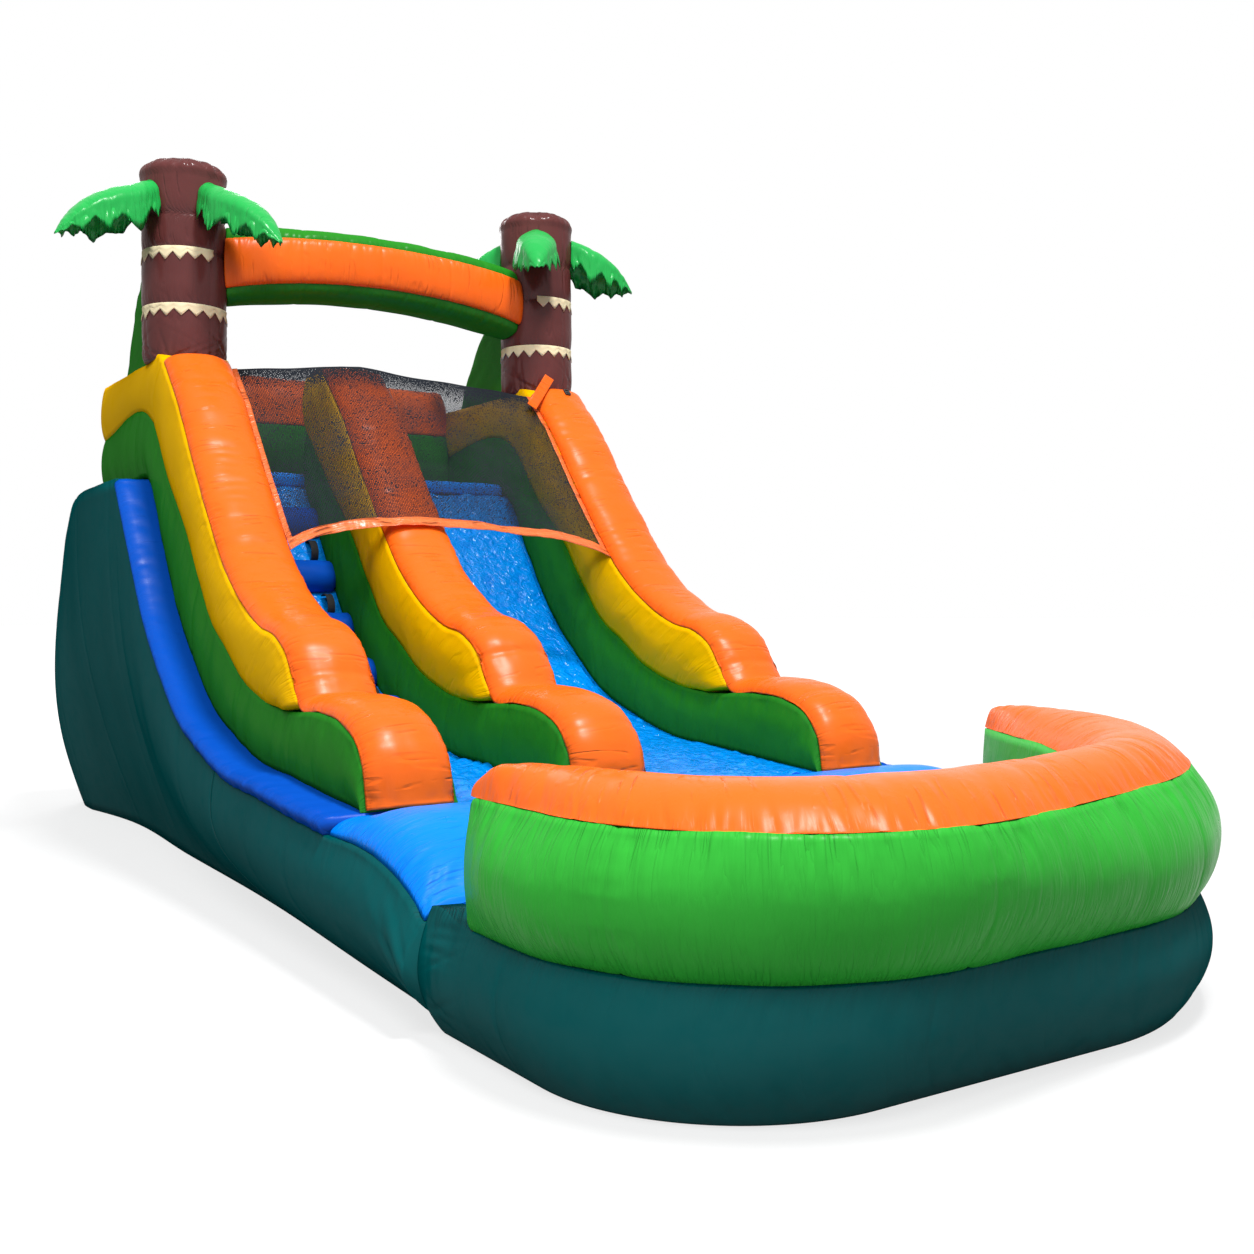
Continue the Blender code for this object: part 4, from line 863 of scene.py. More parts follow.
def poolWall():
    grooved, seamed, inner = poolSeam(grooveCornerShares), poolSeam(seamCornerShares), poolInner()
    top = rimSeamHeights()
    # It stands on the pool's base, or on the run-out beside it.
    furthest = np.maximum(grooved[:, 1], inner[:, 1])
    under = np.where(furthest > baseLook["junction"] - 0.05, heightOn(cushionUnder, furthest), 0)
    foot = np.maximum(poolLook["groove"], under) + slide["clear"]
    tall = (top - foot)[:, None]
    rise, backRise = np.linspace(0, 1, 25), np.linspace(1, 0, 13)
    spot = np.arange(len(top))
    fade = np.clip(np.minimum(spot, spot[::-1]) / 40, 0, 1)[:, None, None] ** 0.5
    away = (pushedPlan(seamed, 1.0) - seamed)[:, None]
    push = (pushedPlan(inner, -1.0) - inner)[:, None]
    bulge = poolLook["bulge"] * np.sin(np.pi * rise) ** 0.8
    innerBulge = poolLook["innerBulge"] * np.sin(np.pi * backRise)
    plan = grooved[:, None] + (seamed - grooved)[:, None] * rise[None, :, None]
    plan = plan + away * bulge[None, :, None] * fade
    innerPlan = inner[:, None] + push * innerBulge[None, :, None] * fade
    outside = layOut(plan[..., 0], plan[..., 1], foot[:, None] + tall * rise)
    inside = layOut(innerPlan[..., 0], innerPlan[..., 1], foot[:, None] + tall * backRise)
    places = roundEnds(np.concatenate([outside, inside, outside[:, :1]], axis=1), 0.06, 0.06, 0.25)
    down, girth = runsOf(places)
    rest = np.full((len(top), len(backRise) + 1), 0.3)
    highGap = np.concatenate([tall * (1 - rise), rest], axis=1)
    lowGap = np.concatenate([tall * rise, rest], axis=1)
    shown = np.concatenate([np.ones(len(rise)), 0.3 * np.ones(len(backRise)), [1]])
    shape = creases(down, highGap, poolLook["highCreases"], 720, step=2)
    shape += creases(down, lowGap, poolLook["lowCreases"], 721, step=2)
    shape += panelSeams(down, girth, shared(down, poolLook["wallSeamShares"]), 0.007, 724)
    shape += 0.003 * ripple(down, girth, 0.45, 730)
    places = pushed(places, shape * shown)
    return skin("poolWall", places, np.minimum(highGap, lowGap), lime, ["pool_wall"], "lime_vinyl")


def poolRim():
    outer, inner = poolSeam(seamCornerShares), poolInner()
    foot = rimSeamHeights()[:, None] + slide["clear"]
    width = np.linalg.norm(outer - inner, axis=1)[:, None]
    crown = poolLook["crown"] * np.tanh(width * poolLook["crownShare"] / poolLook["crown"])
    across = (1 - np.cos(np.linspace(0, math.pi, 31))) / 2
    up = 1 - np.abs(2 * across - 1) ** 2.4
    x, y = (inner[:, i : i + 1] + (outer - inner)[:, i : i + 1] * across for i in (0, 1))
    top = layOut(x, y, foot + crown * up)
    flat = top[:, ::-5][:, 1:-1].copy()
    flat[..., 2] = foot
    places = roundEnds(np.concatenate([top, flat, top[:, :1]], axis=1), 0.05, 0.08, 0.25)
    down, girth = runsOf(places)
    rest = np.ones((len(foot), flat.shape[1] + 1))
    outGap = np.concatenate([width * (1 - across) + crown * up * 0.5, rest], axis=1)
    inGap = np.concatenate([width * across + crown * up * 0.5, rest], axis=1)
    shown = np.concatenate([np.ones(len(across)), np.zeros(flat.shape[1]), [1]])
    shape = creases(down, outGap, poolLook["rimOutCreases"], 740)
    shape += creases(down, inGap, poolLook["rimInCreases"], 742)
    shape += panelSeams(down, girth, shared(down, poolLook["rimSeamShares"]), 0.004, 744, 0.05, 0.04)
    shape += 0.0015 * ripple(down, girth, 0.6, 760)
    places = pushed(places, shape * shown)
    return skin("poolRim", places, np.minimum(outGap, inGap), orange, ["pool_rim"], "orange_vinyl")


def poolFloor():
    inner = poolInner() * 0.985
    behind = baseLook["junction"] + 0.01
    line = inner[inner[:, 1] < behind]
    back = evenly([line[-1], (line[-1, 0], behind), (line[0, 0], behind), line[0]], 90)[1:-1]
    outline = np.concatenate([line, back])
    outline = np.concatenate([outline, outline[:1]])
    middle = outline[:-1].mean(axis=0)
    low, high = (corner.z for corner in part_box("pool_floor"))
    rows = []
    for share, lift in poolLook["floorDomes"]:
        x, y = (middle + (outline - middle) * share).T
        rows.append(layOut(x, y, low + (high - low) * lift))
    places = np.array(rows)
    down, _ = runsOf(places)
    gap = down[-1:] - down
    return skin("poolFloor", places, gap, shadedPoolBlue, ["pool_floor"], "bright_vinyl", turned=True)


poolBase()
poolWall()
poolRim()
poolFloor()
print("pool ready")


# The blue bed under the rails, the padded run-out, and the loose liner in the slide lane

bedLook = {
    "edge": ((0.965, 1.0), (0.985, 0.985), (0.995, 0.9), (1.012, 0.5), (1.0, 0.0)),  # across, up
    "seams": (0.6, 1.5, 2.35, 3.2, 3.9),
    "edgeCreases": ((0.045, 0.010, 0.07), (0.15, 0.008, 0.16)),
    "crumple": 0.014, "crumplePitch": 0.17, "crumpleSink": 0.006,
    "wave": 0.006, "wavePitch": 0.4,
}


def slideBed():
    half, depth = baseLook["seamHalf"], baseLook["bedThickness"] - slide["clear"]
    edge = evenly(curveThrough(bedLook["edge"], 0.002), 14)
    flat = edge[0, 0]
    offsets = [*edge[::-1], *((x, 1.0) for x in np.linspace(flat, -flat, 141)[1:-1]), *(edge * (-1, 1))]
    offsets = np.array([*offsets, (-0.5, 0.0), (0.0, 0.0), (0.5, 0.0), edge[-1]])
    up = offsets[:, 1]
    places = layOut(half * offsets[:, 0], bedCurve[:, :1], bedCurve[:, 1:] - depth + depth * up)
    down, girth = runsOf(places)
    fromMiddle = np.abs(places[..., 0])
    rim = np.clip(half * 1.012 - fromMiddle, 0, 1)
    ledge = np.clip((fromMiddle - (railX["right"] + slide["railHalf"] + 0.03)) / 0.04, 0, 1) * (up > 0.02)
    shape = ledge * creases(down, rim, bedLook["edgeCreases"], 600)
    shape += ledge * panelSeams(down, rim, bedLook["seams"], 0.006, 602)
    shape += ledge * 0.002 * ripple(down, girth, 0.12, 620)
    lane = np.clip((railX["right"] - slide["railHalf"] - fromMiddle) / 0.04, 0, 1) * (up > 0.5)
    crumple = np.abs(ripple(down, girth, bedLook["crumplePitch"], 621, 12))
    shape += lane * bedLook["crumple"] * crumple - lane * bedLook["crumpleSink"]
    shape += lane * bedLook["wave"] * ripple(down, girth, bedLook["wavePitch"], 622)
    places[..., 2] += shape
    bed = skin("slideBed", places, rim, blue, ["slide_bed"], "blue_vinyl")
    bed.data.materials.append(crumpled)
    inside = railX["right"] + slide["railHalf"] * 0.5
    for face in bed.data.polygons:
        if abs(face.center.x) < inside and abs(face.normal.y) < 0.95:  # not the two ends
            face.material_index = 1


cushionLook = {
    "half": 1.70,
    "columns": 101, "underColumns": 9,
    "roundShare": 2.2, "leastRound": 0.16,
    "mostRise": 0.004,  # puckers only go in, apart from this
    "sideCreases": ((0.05, 0.006, 0.10), (0.16, 0.006, 0.22)),
    "frontCreases": ((0.06, 0.010, 0.22), (0.16, 0.012, 0.40)),
    "backCreases": (0.09, 0.010, 0.12),
}


def exitCushion():
    columns, left = cushionLook["columns"], -cushionLook["half"]
    back, front = bedFront[0] - slide["clear"], baseLook["junction"] + 0.02
    line = curveThrough(cushionOver, 0.012)
    line = line[(line[:, 0] <= back) & (line[:, 0] >= front)]
    inner = poolInner()
    arm = inner[len(inner) // 2 :]
    arm = arm[np.argsort(arm[:, 1])]
    t = np.linspace(-1, 1, columns)
    t = np.sign(t) * (1 - (1 - np.abs(t)) ** 1.5)
    rows = []
    gaps = []
    for y, high in line:
        low = heightOn(cushionUnder, y) + slide["clear"]
        limit = np.interp(min(y, poolLook["rightTip"]), arm[:, 1], arm[:, 0]) - poolLook["armMargin"]
        right = limit + (cushionLook["half"] - limit) * np.clip((y - poolLook["rightTip"]) / 0.05, 0, 1)
        x = (left + right) / 2 + (right - left) / 2 * t
        edge = np.minimum(x - left, right - x)
        reach = max((high - low) * cushionLook["roundShare"], cushionLook["leastRound"])
        near = np.clip(1 - edge / reach, 0, 1)
        ring = layOut(x, y, low + (high - low) * np.sqrt(np.clip(1 - near**2.2, 0, 1)))[::-1]
        bottom = layOut(np.linspace(left, right, cushionLook["underColumns"])[1:-1], y, low)
        rows.append(np.concatenate([ring, bottom, ring[:1]]))
        gaps.append(np.concatenate([edge[::-1], np.ones(len(bottom)), edge[-1:]]))
    places, gap = np.array(rows), np.array(gaps)
    down, girth = runsOf(places)
    shown = (np.arange(places.shape[1]) < columns) * np.clip(gap / 0.02, 0, 1)
    shape = creases(down, gap, cushionLook["sideCreases"], 640)
    shape += creases(girth, down[-1, 0] - down, cushionLook["frontCreases"], 642, 0.4)
    shape += puckers(girth, down, *cushionLook["backCreases"], 644)
    shape += 0.002 * ripple(down, girth, 0.5, 645)
    places = pushed(places, np.minimum(shape, cushionLook["mostRise"]) * shown)
    cushion = skin("exitCushion", places, gap, bright, ["exit_cushion"], "bright_vinyl")


linerLook = {"margin": 0.02, "thickness": 0.003, "swell": 0.015, "seams": (1.0, 2.1), "off": 0.002}


def slideLiner():
    margin = linerLook["margin"]
    low = railX["middle"] + slide["railHalf"] + margin
    high = railX["right"] - slide["railHalf"] - margin
    line = curveThrough(bedLine, 0.014)
    line = line[(line[:, 0] < slide["bedBack"] - margin) & (line[:, 0] > bedFront[0] + margin)]
    normal = turnedOut(line)
    x = np.linspace(low, high, 81)
    down, across = runsOf(layOut(x, line[:, :1], line[:, 1:]))
    fold = ripple(down, across, 0.16, 660, 12)
    fine = ripple(down, across, 0.06, 661, 14)
    lift = 0.5 * (1 - np.abs(fold) * 0.6) + 0.28 * (1 - np.abs(fine) * 0.7)
    lift += 0.2 * ripple(down, across, 0.45, 662)
    edge = np.minimum(across, high - low - across)
    ends = np.minimum(down, down[-1, 0] - down)
    lift = linerLook["swell"] * np.clip(lift, 0.05, 1.5)
    lift = lift * np.clip(edge / 0.04, 0.15, 1) * np.clip(ends / 0.05, 0.15, 1)
    for place in linerLook["seams"]:
        lift *= 1 - 0.7 * np.exp(-np.abs(down - place) / 0.02)
    lift += linerLook["off"]
    places = layOut(x, *(line[:, i : i + 1] + normal[:, i : i + 1] * lift for i in (0, 1)))
    gap, looks = edge + 0.05, {"wrap": False, "closed": False}
    liner = skin("slideLiner", places, gap, crumpled, ["slide_liner"], "bright_vinyl", **looks)
    thicken(liner, linerLook["thickness"] * 0.4, 1)


slideBed()
exitCushion()
slideLiner()
print("bed ready")


# Bars across the lanes: steps, platform, back wall and its cap

laneEdge = railX["right"] - slide["railHalf"]
barLook = {
    "spacing": 0.02, "endRound": 0.05, "endShare": 0.2, "mostRise": 0.001,
    "creases": (0.07, 0.008, 0.09), "wave": 0.0025, "wavePitch": 0.25,
}


def barAcross(name, outline, lowX, highX, finish, nodes, slotName, seed, panels=()):
    spacing, endRound = barLook["spacing"], barLook["endRound"]
    outline = curveThrough([*outline, outline[0]], spacing)
    xs = np.linspace(highX, lowX, max(24, int((highX - lowX) / spacing)))
    places = layOut(xs[:, None], outline[:, 0], outline[:, 1])
    places[:, -1] = places[:, 0]
    places = roundEnds(places, endRound, endRound, barLook["endShare"])
    down, girth = runsOf(places)
    ends = np.minimum(down, down[-1, 0] - down)
    shape = puckers(girth, ends, *barLook["creases"], seed)
    shape += panelSeams(down, girth, panels, 0.006, seed + 3, 0.05, 0.06)
    shape += barLook["wave"] * ripple(down, girth, barLook["wavePitch"], seed + 1)
    places = pushed(places, np.minimum(shape, barLook["mostRise"]))
    return skin(name, places, ends, finish, nodes, slotName)


def pointOn(line, distance):
    line = np.array(line)
    places = arcPlaces(line)
    return np.array([np.interp(distance, places, line[:, 0]), np.interp(distance, places, line[:, 1])])


def hump(start, end, height, count=17):  # half an ellipse that stands on the chord
    along = (end - start) / 2
    normal = np.array([along[1], -along[0]])
    normal /= np.linalg.norm(normal)
    angles = np.linspace(0, math.pi, count)[:, None]
    return (start + along) - along * np.cos(angles) + normal * height * np.sin(angles)


stepLook = {
    "count": 5, "start": 0.35, "pitch": 0.46, "length": 0.24, "height": 0.12,
    "off": 0.001, "sideGap": 0.001,  # over the bed, and from the rails
}
climbLow = -laneEdge + stepLook["sideGap"]
climbHigh = railX["middle"] - slide["railHalf"] - stepLook["sideGap"]


def climbingSteps():
    for i in range(stepLook["count"]):
        middle, half = stepLook["start"] + stepLook["pitch"] * i, stepLook["length"] / 2
        start, end = (pointOn(bedLine, middle + way * half) + (0, stepLook["off"]) for way in (-1, 1))
        outline = [*hump(start, end, stepLook["height"]), *evenly([end, start], 8)[1:-1]]
        name, node = "climbingStep%d" % (i + 1), "climbing_step_%d" % (i + 1)
        barAcross(name, outline, climbLow, climbHigh, blue, [node], "blue_vinyl", 800 + 10 * i)


def strapAlong(name, path, centreX, width, thickness, finish, nodes, place=None):
    path = curveThrough(path, 0.006)
    bm = bmesh.new()
    bmesh.ops.create_grid(bm, x_segments=6, y_segments=len(path) - 1, size=1)
    bm.verts.ensure_lookup_table()
    uvLayer = bm.loops.layers.uv.new("skin")
    length = arcPlaces(path)
    xs = np.linspace(-width / 2, width / 2, 7)
    spots = {}
    for i, vert in enumerate(bm.verts):
        j, x = i // 7, xs[i % 7]
        vert.co = (centreX + x, path[j, 0], path[j, 1])
        spots[vert.index] = (length[j], x)
    for face in bm.faces:
        for loop in face.loops:
            loop[uvLayer].uv = spots[loop.vert.index]
    bmesh.ops.recalc_face_normals(bm, faces=bm.faces[:])
    if place is not None:
        bmesh.ops.transform(bm, matrix=place, verts=bm.verts[:])
    item = finished(name, meshOf(bm, name), finish, nodes)
    thicken(item, thickness)
    soften(item, thickness * 0.25)


def webbingMaterial():
    made, tree, shader = newMaterial("webbing")
    inputs = {"Scale": 180, "Distortion": 0.4, "Vector": pieceMap(tree)}
    wave = addNode(tree, "TexWave", inputs, bands_direction="DIAGONAL").outputs["Fac"]
    colour = mixColours(tree, wave, (0.008, 0.008, 0.009, 1), (0.03, 0.03, 0.032, 1))
    feed(tree, shader["Base Color"], colour)
    bump = addNode(tree, "Bump", {"Distance": 0.0006, "Height": wave})
    feed(tree, shader["Normal"], bump.outputs["Normal"])
    shader["Roughness"].default_value = 0.75
    return made


webbing = webbingMaterial()
handleLook = {
    "count": 4, "length": 0.16, "height": 0.07, "width": 0.05, "thickness": 0.004,
    "inset": 0.0867,  # from the middle rail
}


def climbingHandles():
    width, thickness = handleLook["width"], handleLook["thickness"]
    x = climbHigh + 0.0007 - handleLook["inset"]
    half = handleLook["length"] / 2 - thickness / 2
    for i in range(handleLook["count"]):
        middle = stepLook["start"] + stepLook["pitch"] * (i + 0.5)
        start, end = (pointOn(bedLine, middle + way * half) + (0, slide["clear"]) for way in (-1, 1))
        arc = hump(start, end, handleLook["height"] - thickness / 2, 25)
        node = "climbing_handle_%d" % (i + 1)
        strapAlong("climbingHandle%d" % (i + 1), arc, x, width, thickness, webbing, [node])


wallLook = {
    "front": 1.05, "depth": 0.35, "top": 3.00, "capTop": 3.38, "bulge": 0.03,
    "deckRound": 0.012,
    "seams": (0.55, 1.1, 1.65), "capSeams": (0.4, 0.85, 1.3, 1.75),
}


def platformAndWall():
    low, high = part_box("platform_deck")
    inset = wallLook["deckRound"]
    deck = [
        (low.y, low.z), (low.y, high.z - inset), (low.y + inset, high.z),
        (high.y - inset, high.z), (high.y, high.z - inset), (high.y, low.z),
    ]
    dense = []
    for a, b in zip(deck, deck[1:] + deck[:1]):
        dense += list(evenly([a, b], 6)[:-1])
    seams = wallLook["seams"]
    barAcross("platformDeck", dense, low.x, high.x, bright, ["platform_deck"], "bright_vinyl", 860, seams)
    front, half, top = wallLook["front"], wallLook["depth"] / 2, wallLook["top"]
    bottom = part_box("back_wall")[0].z
    wall = []
    for face, way, start in ((front + wallLook["depth"], 1, 0), (front, -1, 1)):
        for share in np.linspace(start, 1 - start, 9):
            bulge = way * wallLook["bulge"] * math.sin(math.pi * share)
            wall.append((face + bulge, bottom + (top - bottom) * share))
    barAcross("backWall", wall, -laneEdge, laneEdge, green, ["back_wall"], "green_vinyl", 870, seams)
    middle, foot, rise = front + half, top + 0.001, wallLook["capTop"] - top
    angles = np.linspace(0, math.pi, 19)
    cap = [(middle + half * math.cos(a), foot + rise * math.sin(a) ** 0.85) for a in angles]
    cap += [(middle - half * s, foot) for s in (0.6, 0.2, -0.2, -0.6)]
    seams, node = wallLook["capSeams"], "back_wall_cap"
    barAcross("backWallCap", cap, -laneEdge, laneEdge, orange, [node], "orange_vinyl", 880, seams)


climbingSteps()
climbingHandles()
platformAndWall()
print("lanes ready")


# Palms: trunks with zigzag bands and toothed fronds, wings behind them, and the arch between

palmLook = {
    "radius": 0.268,
    "foot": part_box("trunk_left")[0].z,
    "tops": {side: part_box("trunk_" + side)[1].z for side in ("left", "right")},
    "domeHeight": 0.145,
    "seams": {"left": (3.53, 3.895, 4.12), "right": (3.53, 3.89, 4.16)},
    "columns": 220,
    "bandTops": {level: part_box("trunk_band_%s_left" % level)[1].z for level in ("lower", "upper")},
    "bandHeight": 0.037,
    "toothHeight": 0.058,
    "teeth": 18,
    "toothSteps": 8,
    "bandThickness": 0.004,
    "openDegrees": 62,
    "lengthSeams": (-1.2, 2.3),
    # Pitch, depth and reach of each set of puckers.
    "domeCreases": (0.075, 0.024, 0.085),
    "seamCreases": (0.04, 0.006, 0.045),
    "footCreases": (0.04, 0.010, 0.10), "highFootCreases": (0.07, 0.010, 0.16),
}
domeShares = [
    (0.0, 1.0), (0.2, 0.995), (0.45, 0.965), (0.66, 0.90), (0.82, 0.79),
    (0.93, 0.64), (1.0, 0.46), (1.02, 0.30), (1.005, 0.12), (0.995, 0.0),
]


def trunkX(side):
    return (-1 if side == "left" else 1) * railX["right"]


def trunkRadii(side, heights, angles):  # the body's radius, drawn in at its seams
    swell = np.zeros_like(heights)
    for place in (palmLook["foot"], *palmLook["seams"][side]):
        swell -= 0.010 * np.exp(-np.abs(heights - place) / 0.02)
        swell -= 0.006 * np.exp(-np.abs(heights - place) / 0.09)
    return palmLook["radius"] + swell + 0.0015 * np.sin(3 * angles + heights * 4)


def ringAt(side, radius, height, angles):
    return layOut(radius * np.cos(angles) + trunkX(side), radius * np.sin(angles), height)


def trunk(side, seed):
    top, foot, full = palmLook["tops"][side], palmLook["foot"], palmLook["radius"]
    rise = palmLook["domeHeight"]
    domeStart = top - rise
    dome = curveThrough([(full * out, domeStart + rise * up) for out, up in domeShares], 0.008)
    angles = np.linspace(0, 2 * math.pi, palmLook["columns"] + 1)
    rows = [ringAt(side, radius, height, angles) for radius, height in dome]
    for height in np.linspace(domeStart, foot, 110)[1:]:
        ease = min(1.0, (domeStart - height) / 0.05)
        radius = full * 0.995 * (1 - ease) + trunkRadii(side, np.full_like(angles, height), angles) * ease
        rows.append(ringAt(side, radius, height, angles))
    places = np.array(rows)
    down, _ = runsOf(places)
    around = angles * full * np.ones_like(down)
    height = places[..., 2]
    gap = np.where(down < down[5], 1.0, np.abs(height - (domeStart + rise * 0.88)))
    shape = puckers(around, gap, *palmLook["domeCreases"], seed, 0.2) * (down > 0.05)
    shape += seamPull(gap, 0.006, 0.012) * (down > 0.05)
    total = np.minimum(gap, 1)
    for i, place in enumerate((foot, *palmLook["seams"][side])):
        away = np.abs(height - place)
        total = np.minimum(total, away)
        sizes = palmLook["seamCreases"] if i else palmLook["footCreases"]
        shape += puckers(around, away, *sizes, seed + 2 + i, 0.4)
    shape += puckers(around, np.abs(height - foot), *palmLook["highFootCreases"], seed + 7, 2.2)
    for angle in palmLook["lengthSeams"]:
        away = np.abs((angles - angle % (2 * math.pi)) * full) + 0 * down
        shape += seamPull(away, 0.004, 0.008) * (height < domeStart)
    shape += 0.0015 * ripple(down, around, 0.2, seed + 9)
    places = pushed(places, shape * np.clip(down / 0.04, 0, 1))
    skin("trunk_" + side, places, total, brown, ["trunk_" + side], "brown_vinyl", turned=True)


def trunkBand(side, level, seed):
    dice = np.random.default_rng(seed)
    top, steps = palmLook["bandTops"][level], palmLook["toothSteps"]
    whole = level == "lower"  # the upper band is open under the arch
    opening = 0 if whole else math.radians(palmLook["openDegrees"])
    start = (0.0 if side == "left" else math.pi) + opening
    turn = 2 * math.pi - 2 * opening
    teeth = max(3, round(palmLook["teeth"] * turn / (2 * math.pi)))
    depths = [palmLook["toothHeight"] * dice.uniform(0.75, 1.0) for _ in range(teeth)]
    angles, lows = [], []
    for i in range(teeth * steps + 1):
        tooth, phase = divmod(i, steps)
        sharp = 1 - abs(2 * phase / steps - 1)
        angles.append(start + turn * i / (teeth * steps))
        lows.append(top - palmLook["bandHeight"] - depths[tooth % teeth] * sharp)
    angles, lows = np.array(angles), np.array(lows)
    rows = []
    for share in (0.0, 0.35, 0.7, 1.0):
        height = top + (lows - top) * share
        rows.append(ringAt(side, trunkRadii(side, height, angles) + 0.003, height, angles))
    places = np.array(rows)
    node = "trunk_band_%s_%s" % (level, side)
    gap = np.full(places.shape[:2], 0.3)
    name = "trunkBand_%s_%s" % (level, side)
    band = skin(name, places, gap, cream, [node], "cream_vinyl", wrap=whole, closed=False)
    thicken(band, palmLook["bandThickness"])


frondLook = {
    "length": 0.70,
    "turns": {  # degrees, and share of the full length
        "left": ((202, 1.0), (-68, 1.0), (57, 0.857)),
        "right": ((-22, 0.729), (-119, 0.786), (118, 0.857)),
    },
    "drop": 0.275,
    "half": 0.16,
    "depth": 0.20,
    "flap": 0.19,
    "teeth": 5,
    "rootShare": 0.85,
    "edgeCreases": (0.06, 0.006, 0.05), "flapCreases": (0.05, 0.012, 0.3),
}
frondShares = [  # out, up, width and depth along the leaf
    (0.00, 0.00, 0.55, 0.80), (0.14, -0.07, 0.80, 1.00), (0.30, -0.14, 1.00, 1.00),
    (0.46, -0.19, 0.95, 0.90), (0.62, -0.25, 0.80, 0.75), (0.77, -0.33, 0.60, 0.55),
    (0.90, -0.44, 0.36, 0.34), (1.00, -0.55, 0.08, 0.10),
]


def frondSection():  # across, up, and how far down the flap, from the left edge over the top and back below
    skirt = [(1.0, -0.02, -1.0), (1.0, -0.02, -0.6), (0.97, 0.0, -0.25)]
    below = [(0.93, -0.02, -0.6), (0.86, -0.04, -0.2), (0.6, -0.06, 0.0), (0.2, -0.10, 0.0)]
    upper = [(math.cos(a) * 0.93, 0.62 * math.sin(a) ** 0.8, 0.0) for a in np.linspace(math.pi, 0, 23)]
    left = [(-x, y, z) for x, y, z in skirt]
    back = [(-x, y, z) for x, y, z in reversed(below)]
    return np.array([*left, *upper, *reversed(skirt), *below, *back, left[0]])


def frond(side, number, degrees, share, seed):
    dice = np.random.default_rng(seed)
    teeth, half, radius = frondLook["teeth"], frondLook["half"], palmLook["radius"]
    length = frondLook["length"] * share
    line = evenly(curveThrough(frondShares, 0.01), 110)
    angle = math.radians(degrees)
    out = np.array([math.cos(angle), math.sin(angle), 0])
    acrossWay = np.array([-out[1], out[0], 0])
    base = np.array([trunkX(side), 0, palmLook["tops"][side] - frondLook["drop"]])
    tooth = np.linspace(0, 1, len(line)) * teeth
    deepness = np.interp(tooth, range(teeth + 1), dice.uniform(0.8, 1.1, teeth + 1))[:, None]
    sharp = (1 - np.abs(2 * (tooth % 1) - 1))[:, None]
    between = (1 - np.abs(2 * ((tooth + 0.5) % 1) - 1))[:, None]
    section = frondSection()
    crossing, up, hang = section.T
    run, rise, wide, deep = (line[:, i : i + 1] for i in range(4))
    wide, deep = np.maximum(wide, 0.03), np.maximum(deep, 0.05)
    size = frondLook["flap"] * wide**0.7 * deepness * np.clip((1 - run) / 0.12, 0.15, 1)
    near = crossing * (1 if degrees % 360 > 180 and math.cos(angle) < 0 else -1) > 0
    flap = size * np.where(near, 0.36 + 0.60 * sharp, 0.72 + 0.30 * between)
    sideways = half * wide * crossing * (1 + 0.10 * sharp * np.clip(-hang, 0, 1))
    # The root wraps the trunk.
    reach = radius * frondLook["rootShare"] + length * run
    reach = np.maximum(reach, np.sqrt(np.maximum((radius + 0.004) ** 2 - sideways**2, 0)))
    places = base + out * reach[..., None] + acrossWay * sideways[..., None]
    places[..., 2] += length * rise + frondLook["depth"] * deep * up + flap * hang
    down, girth = runsOf(places)
    edge = np.clip(half * wide - np.abs(crossing) * half * wide, 0, 1)
    shape = puckers(down, edge, *frondLook["edgeCreases"], seed + 1, 0.8)
    shape += 0.0015 * ripple(down, girth, 0.12, seed + 3)
    flapShape = puckers(down, edge + 0.02, *frondLook["flapCreases"], seed + 4, 1.2)
    shape += np.where(hang < -0.1, flapShape, 0)
    shape *= np.clip(down / 0.05, 0, 1) * np.clip((down[-1, 0] - down) / 0.05, 0, 1)
    free = np.clip(np.abs(reach - radius) / 0.03, 0, 1)
    node = "frond_%s_%d" % (side, number)
    skin(node, pushed(places, shape * free * 0.8), edge + 0.02, leafGreen, [node], "frond_vinyl")


wingLook = {"half": 0.15, "top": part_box("wing_left")[1].z, "columns": 21, "creases": (0.05, 0.010, 0.07)}
wingShares = [(0.28, 1.0), (0.45, 0.90), (0.63, 0.63), (0.78, 0.28), (0.88, 0.0)]


def wing(side, seed):
    foot, top = slide["top"] + slide["clear"], wingLook["top"]
    outline = [(slide["boxBack"] * back, foot + (top - foot) * up) for back, up in reversed(wingShares)]
    near = palmLook["radius"] + palmLook["bandThickness"] + 0.003
    t = np.linspace(0, 1, wingLook["columns"])
    edge = np.sqrt(np.clip(1 - np.clip((t - 0.55) / 0.45, 0, 1) ** 2.2, 0, 1))
    rows = []
    for back, height in curveThrough(outline, 0.015):
        x = wingLook["half"] * min(1.0, (top - height) / 0.06 + 0.35) * edge
        start = np.sqrt(near**2 - np.minimum(x, near * 0.99) ** 2)
        right = layOut(trunkX(side) + x, start + (back - start) * t, height)
        left = right[::-1] * (-1, 1, 1) + (2 * trunkX(side), 0, 0)
        rows.append(np.concatenate([right, left[1:], right[:1]]))
    places = np.array(rows)
    down, girth = runsOf(places)
    last = wingLook["columns"] - 1
    gap = np.abs(girth - girth[:, last : last + 1])
    shape = puckers(down, gap, *wingLook["creases"], seed) + 0.003 * ripple(down, girth, 0.2, seed + 1)
    shape[:, :3] = shape[:, -4:] = 0  # calm where it meets the trunk
    skin("wing_" + side, pushed(places, shape), gap, green, ["wing_" + side], "green_vinyl")


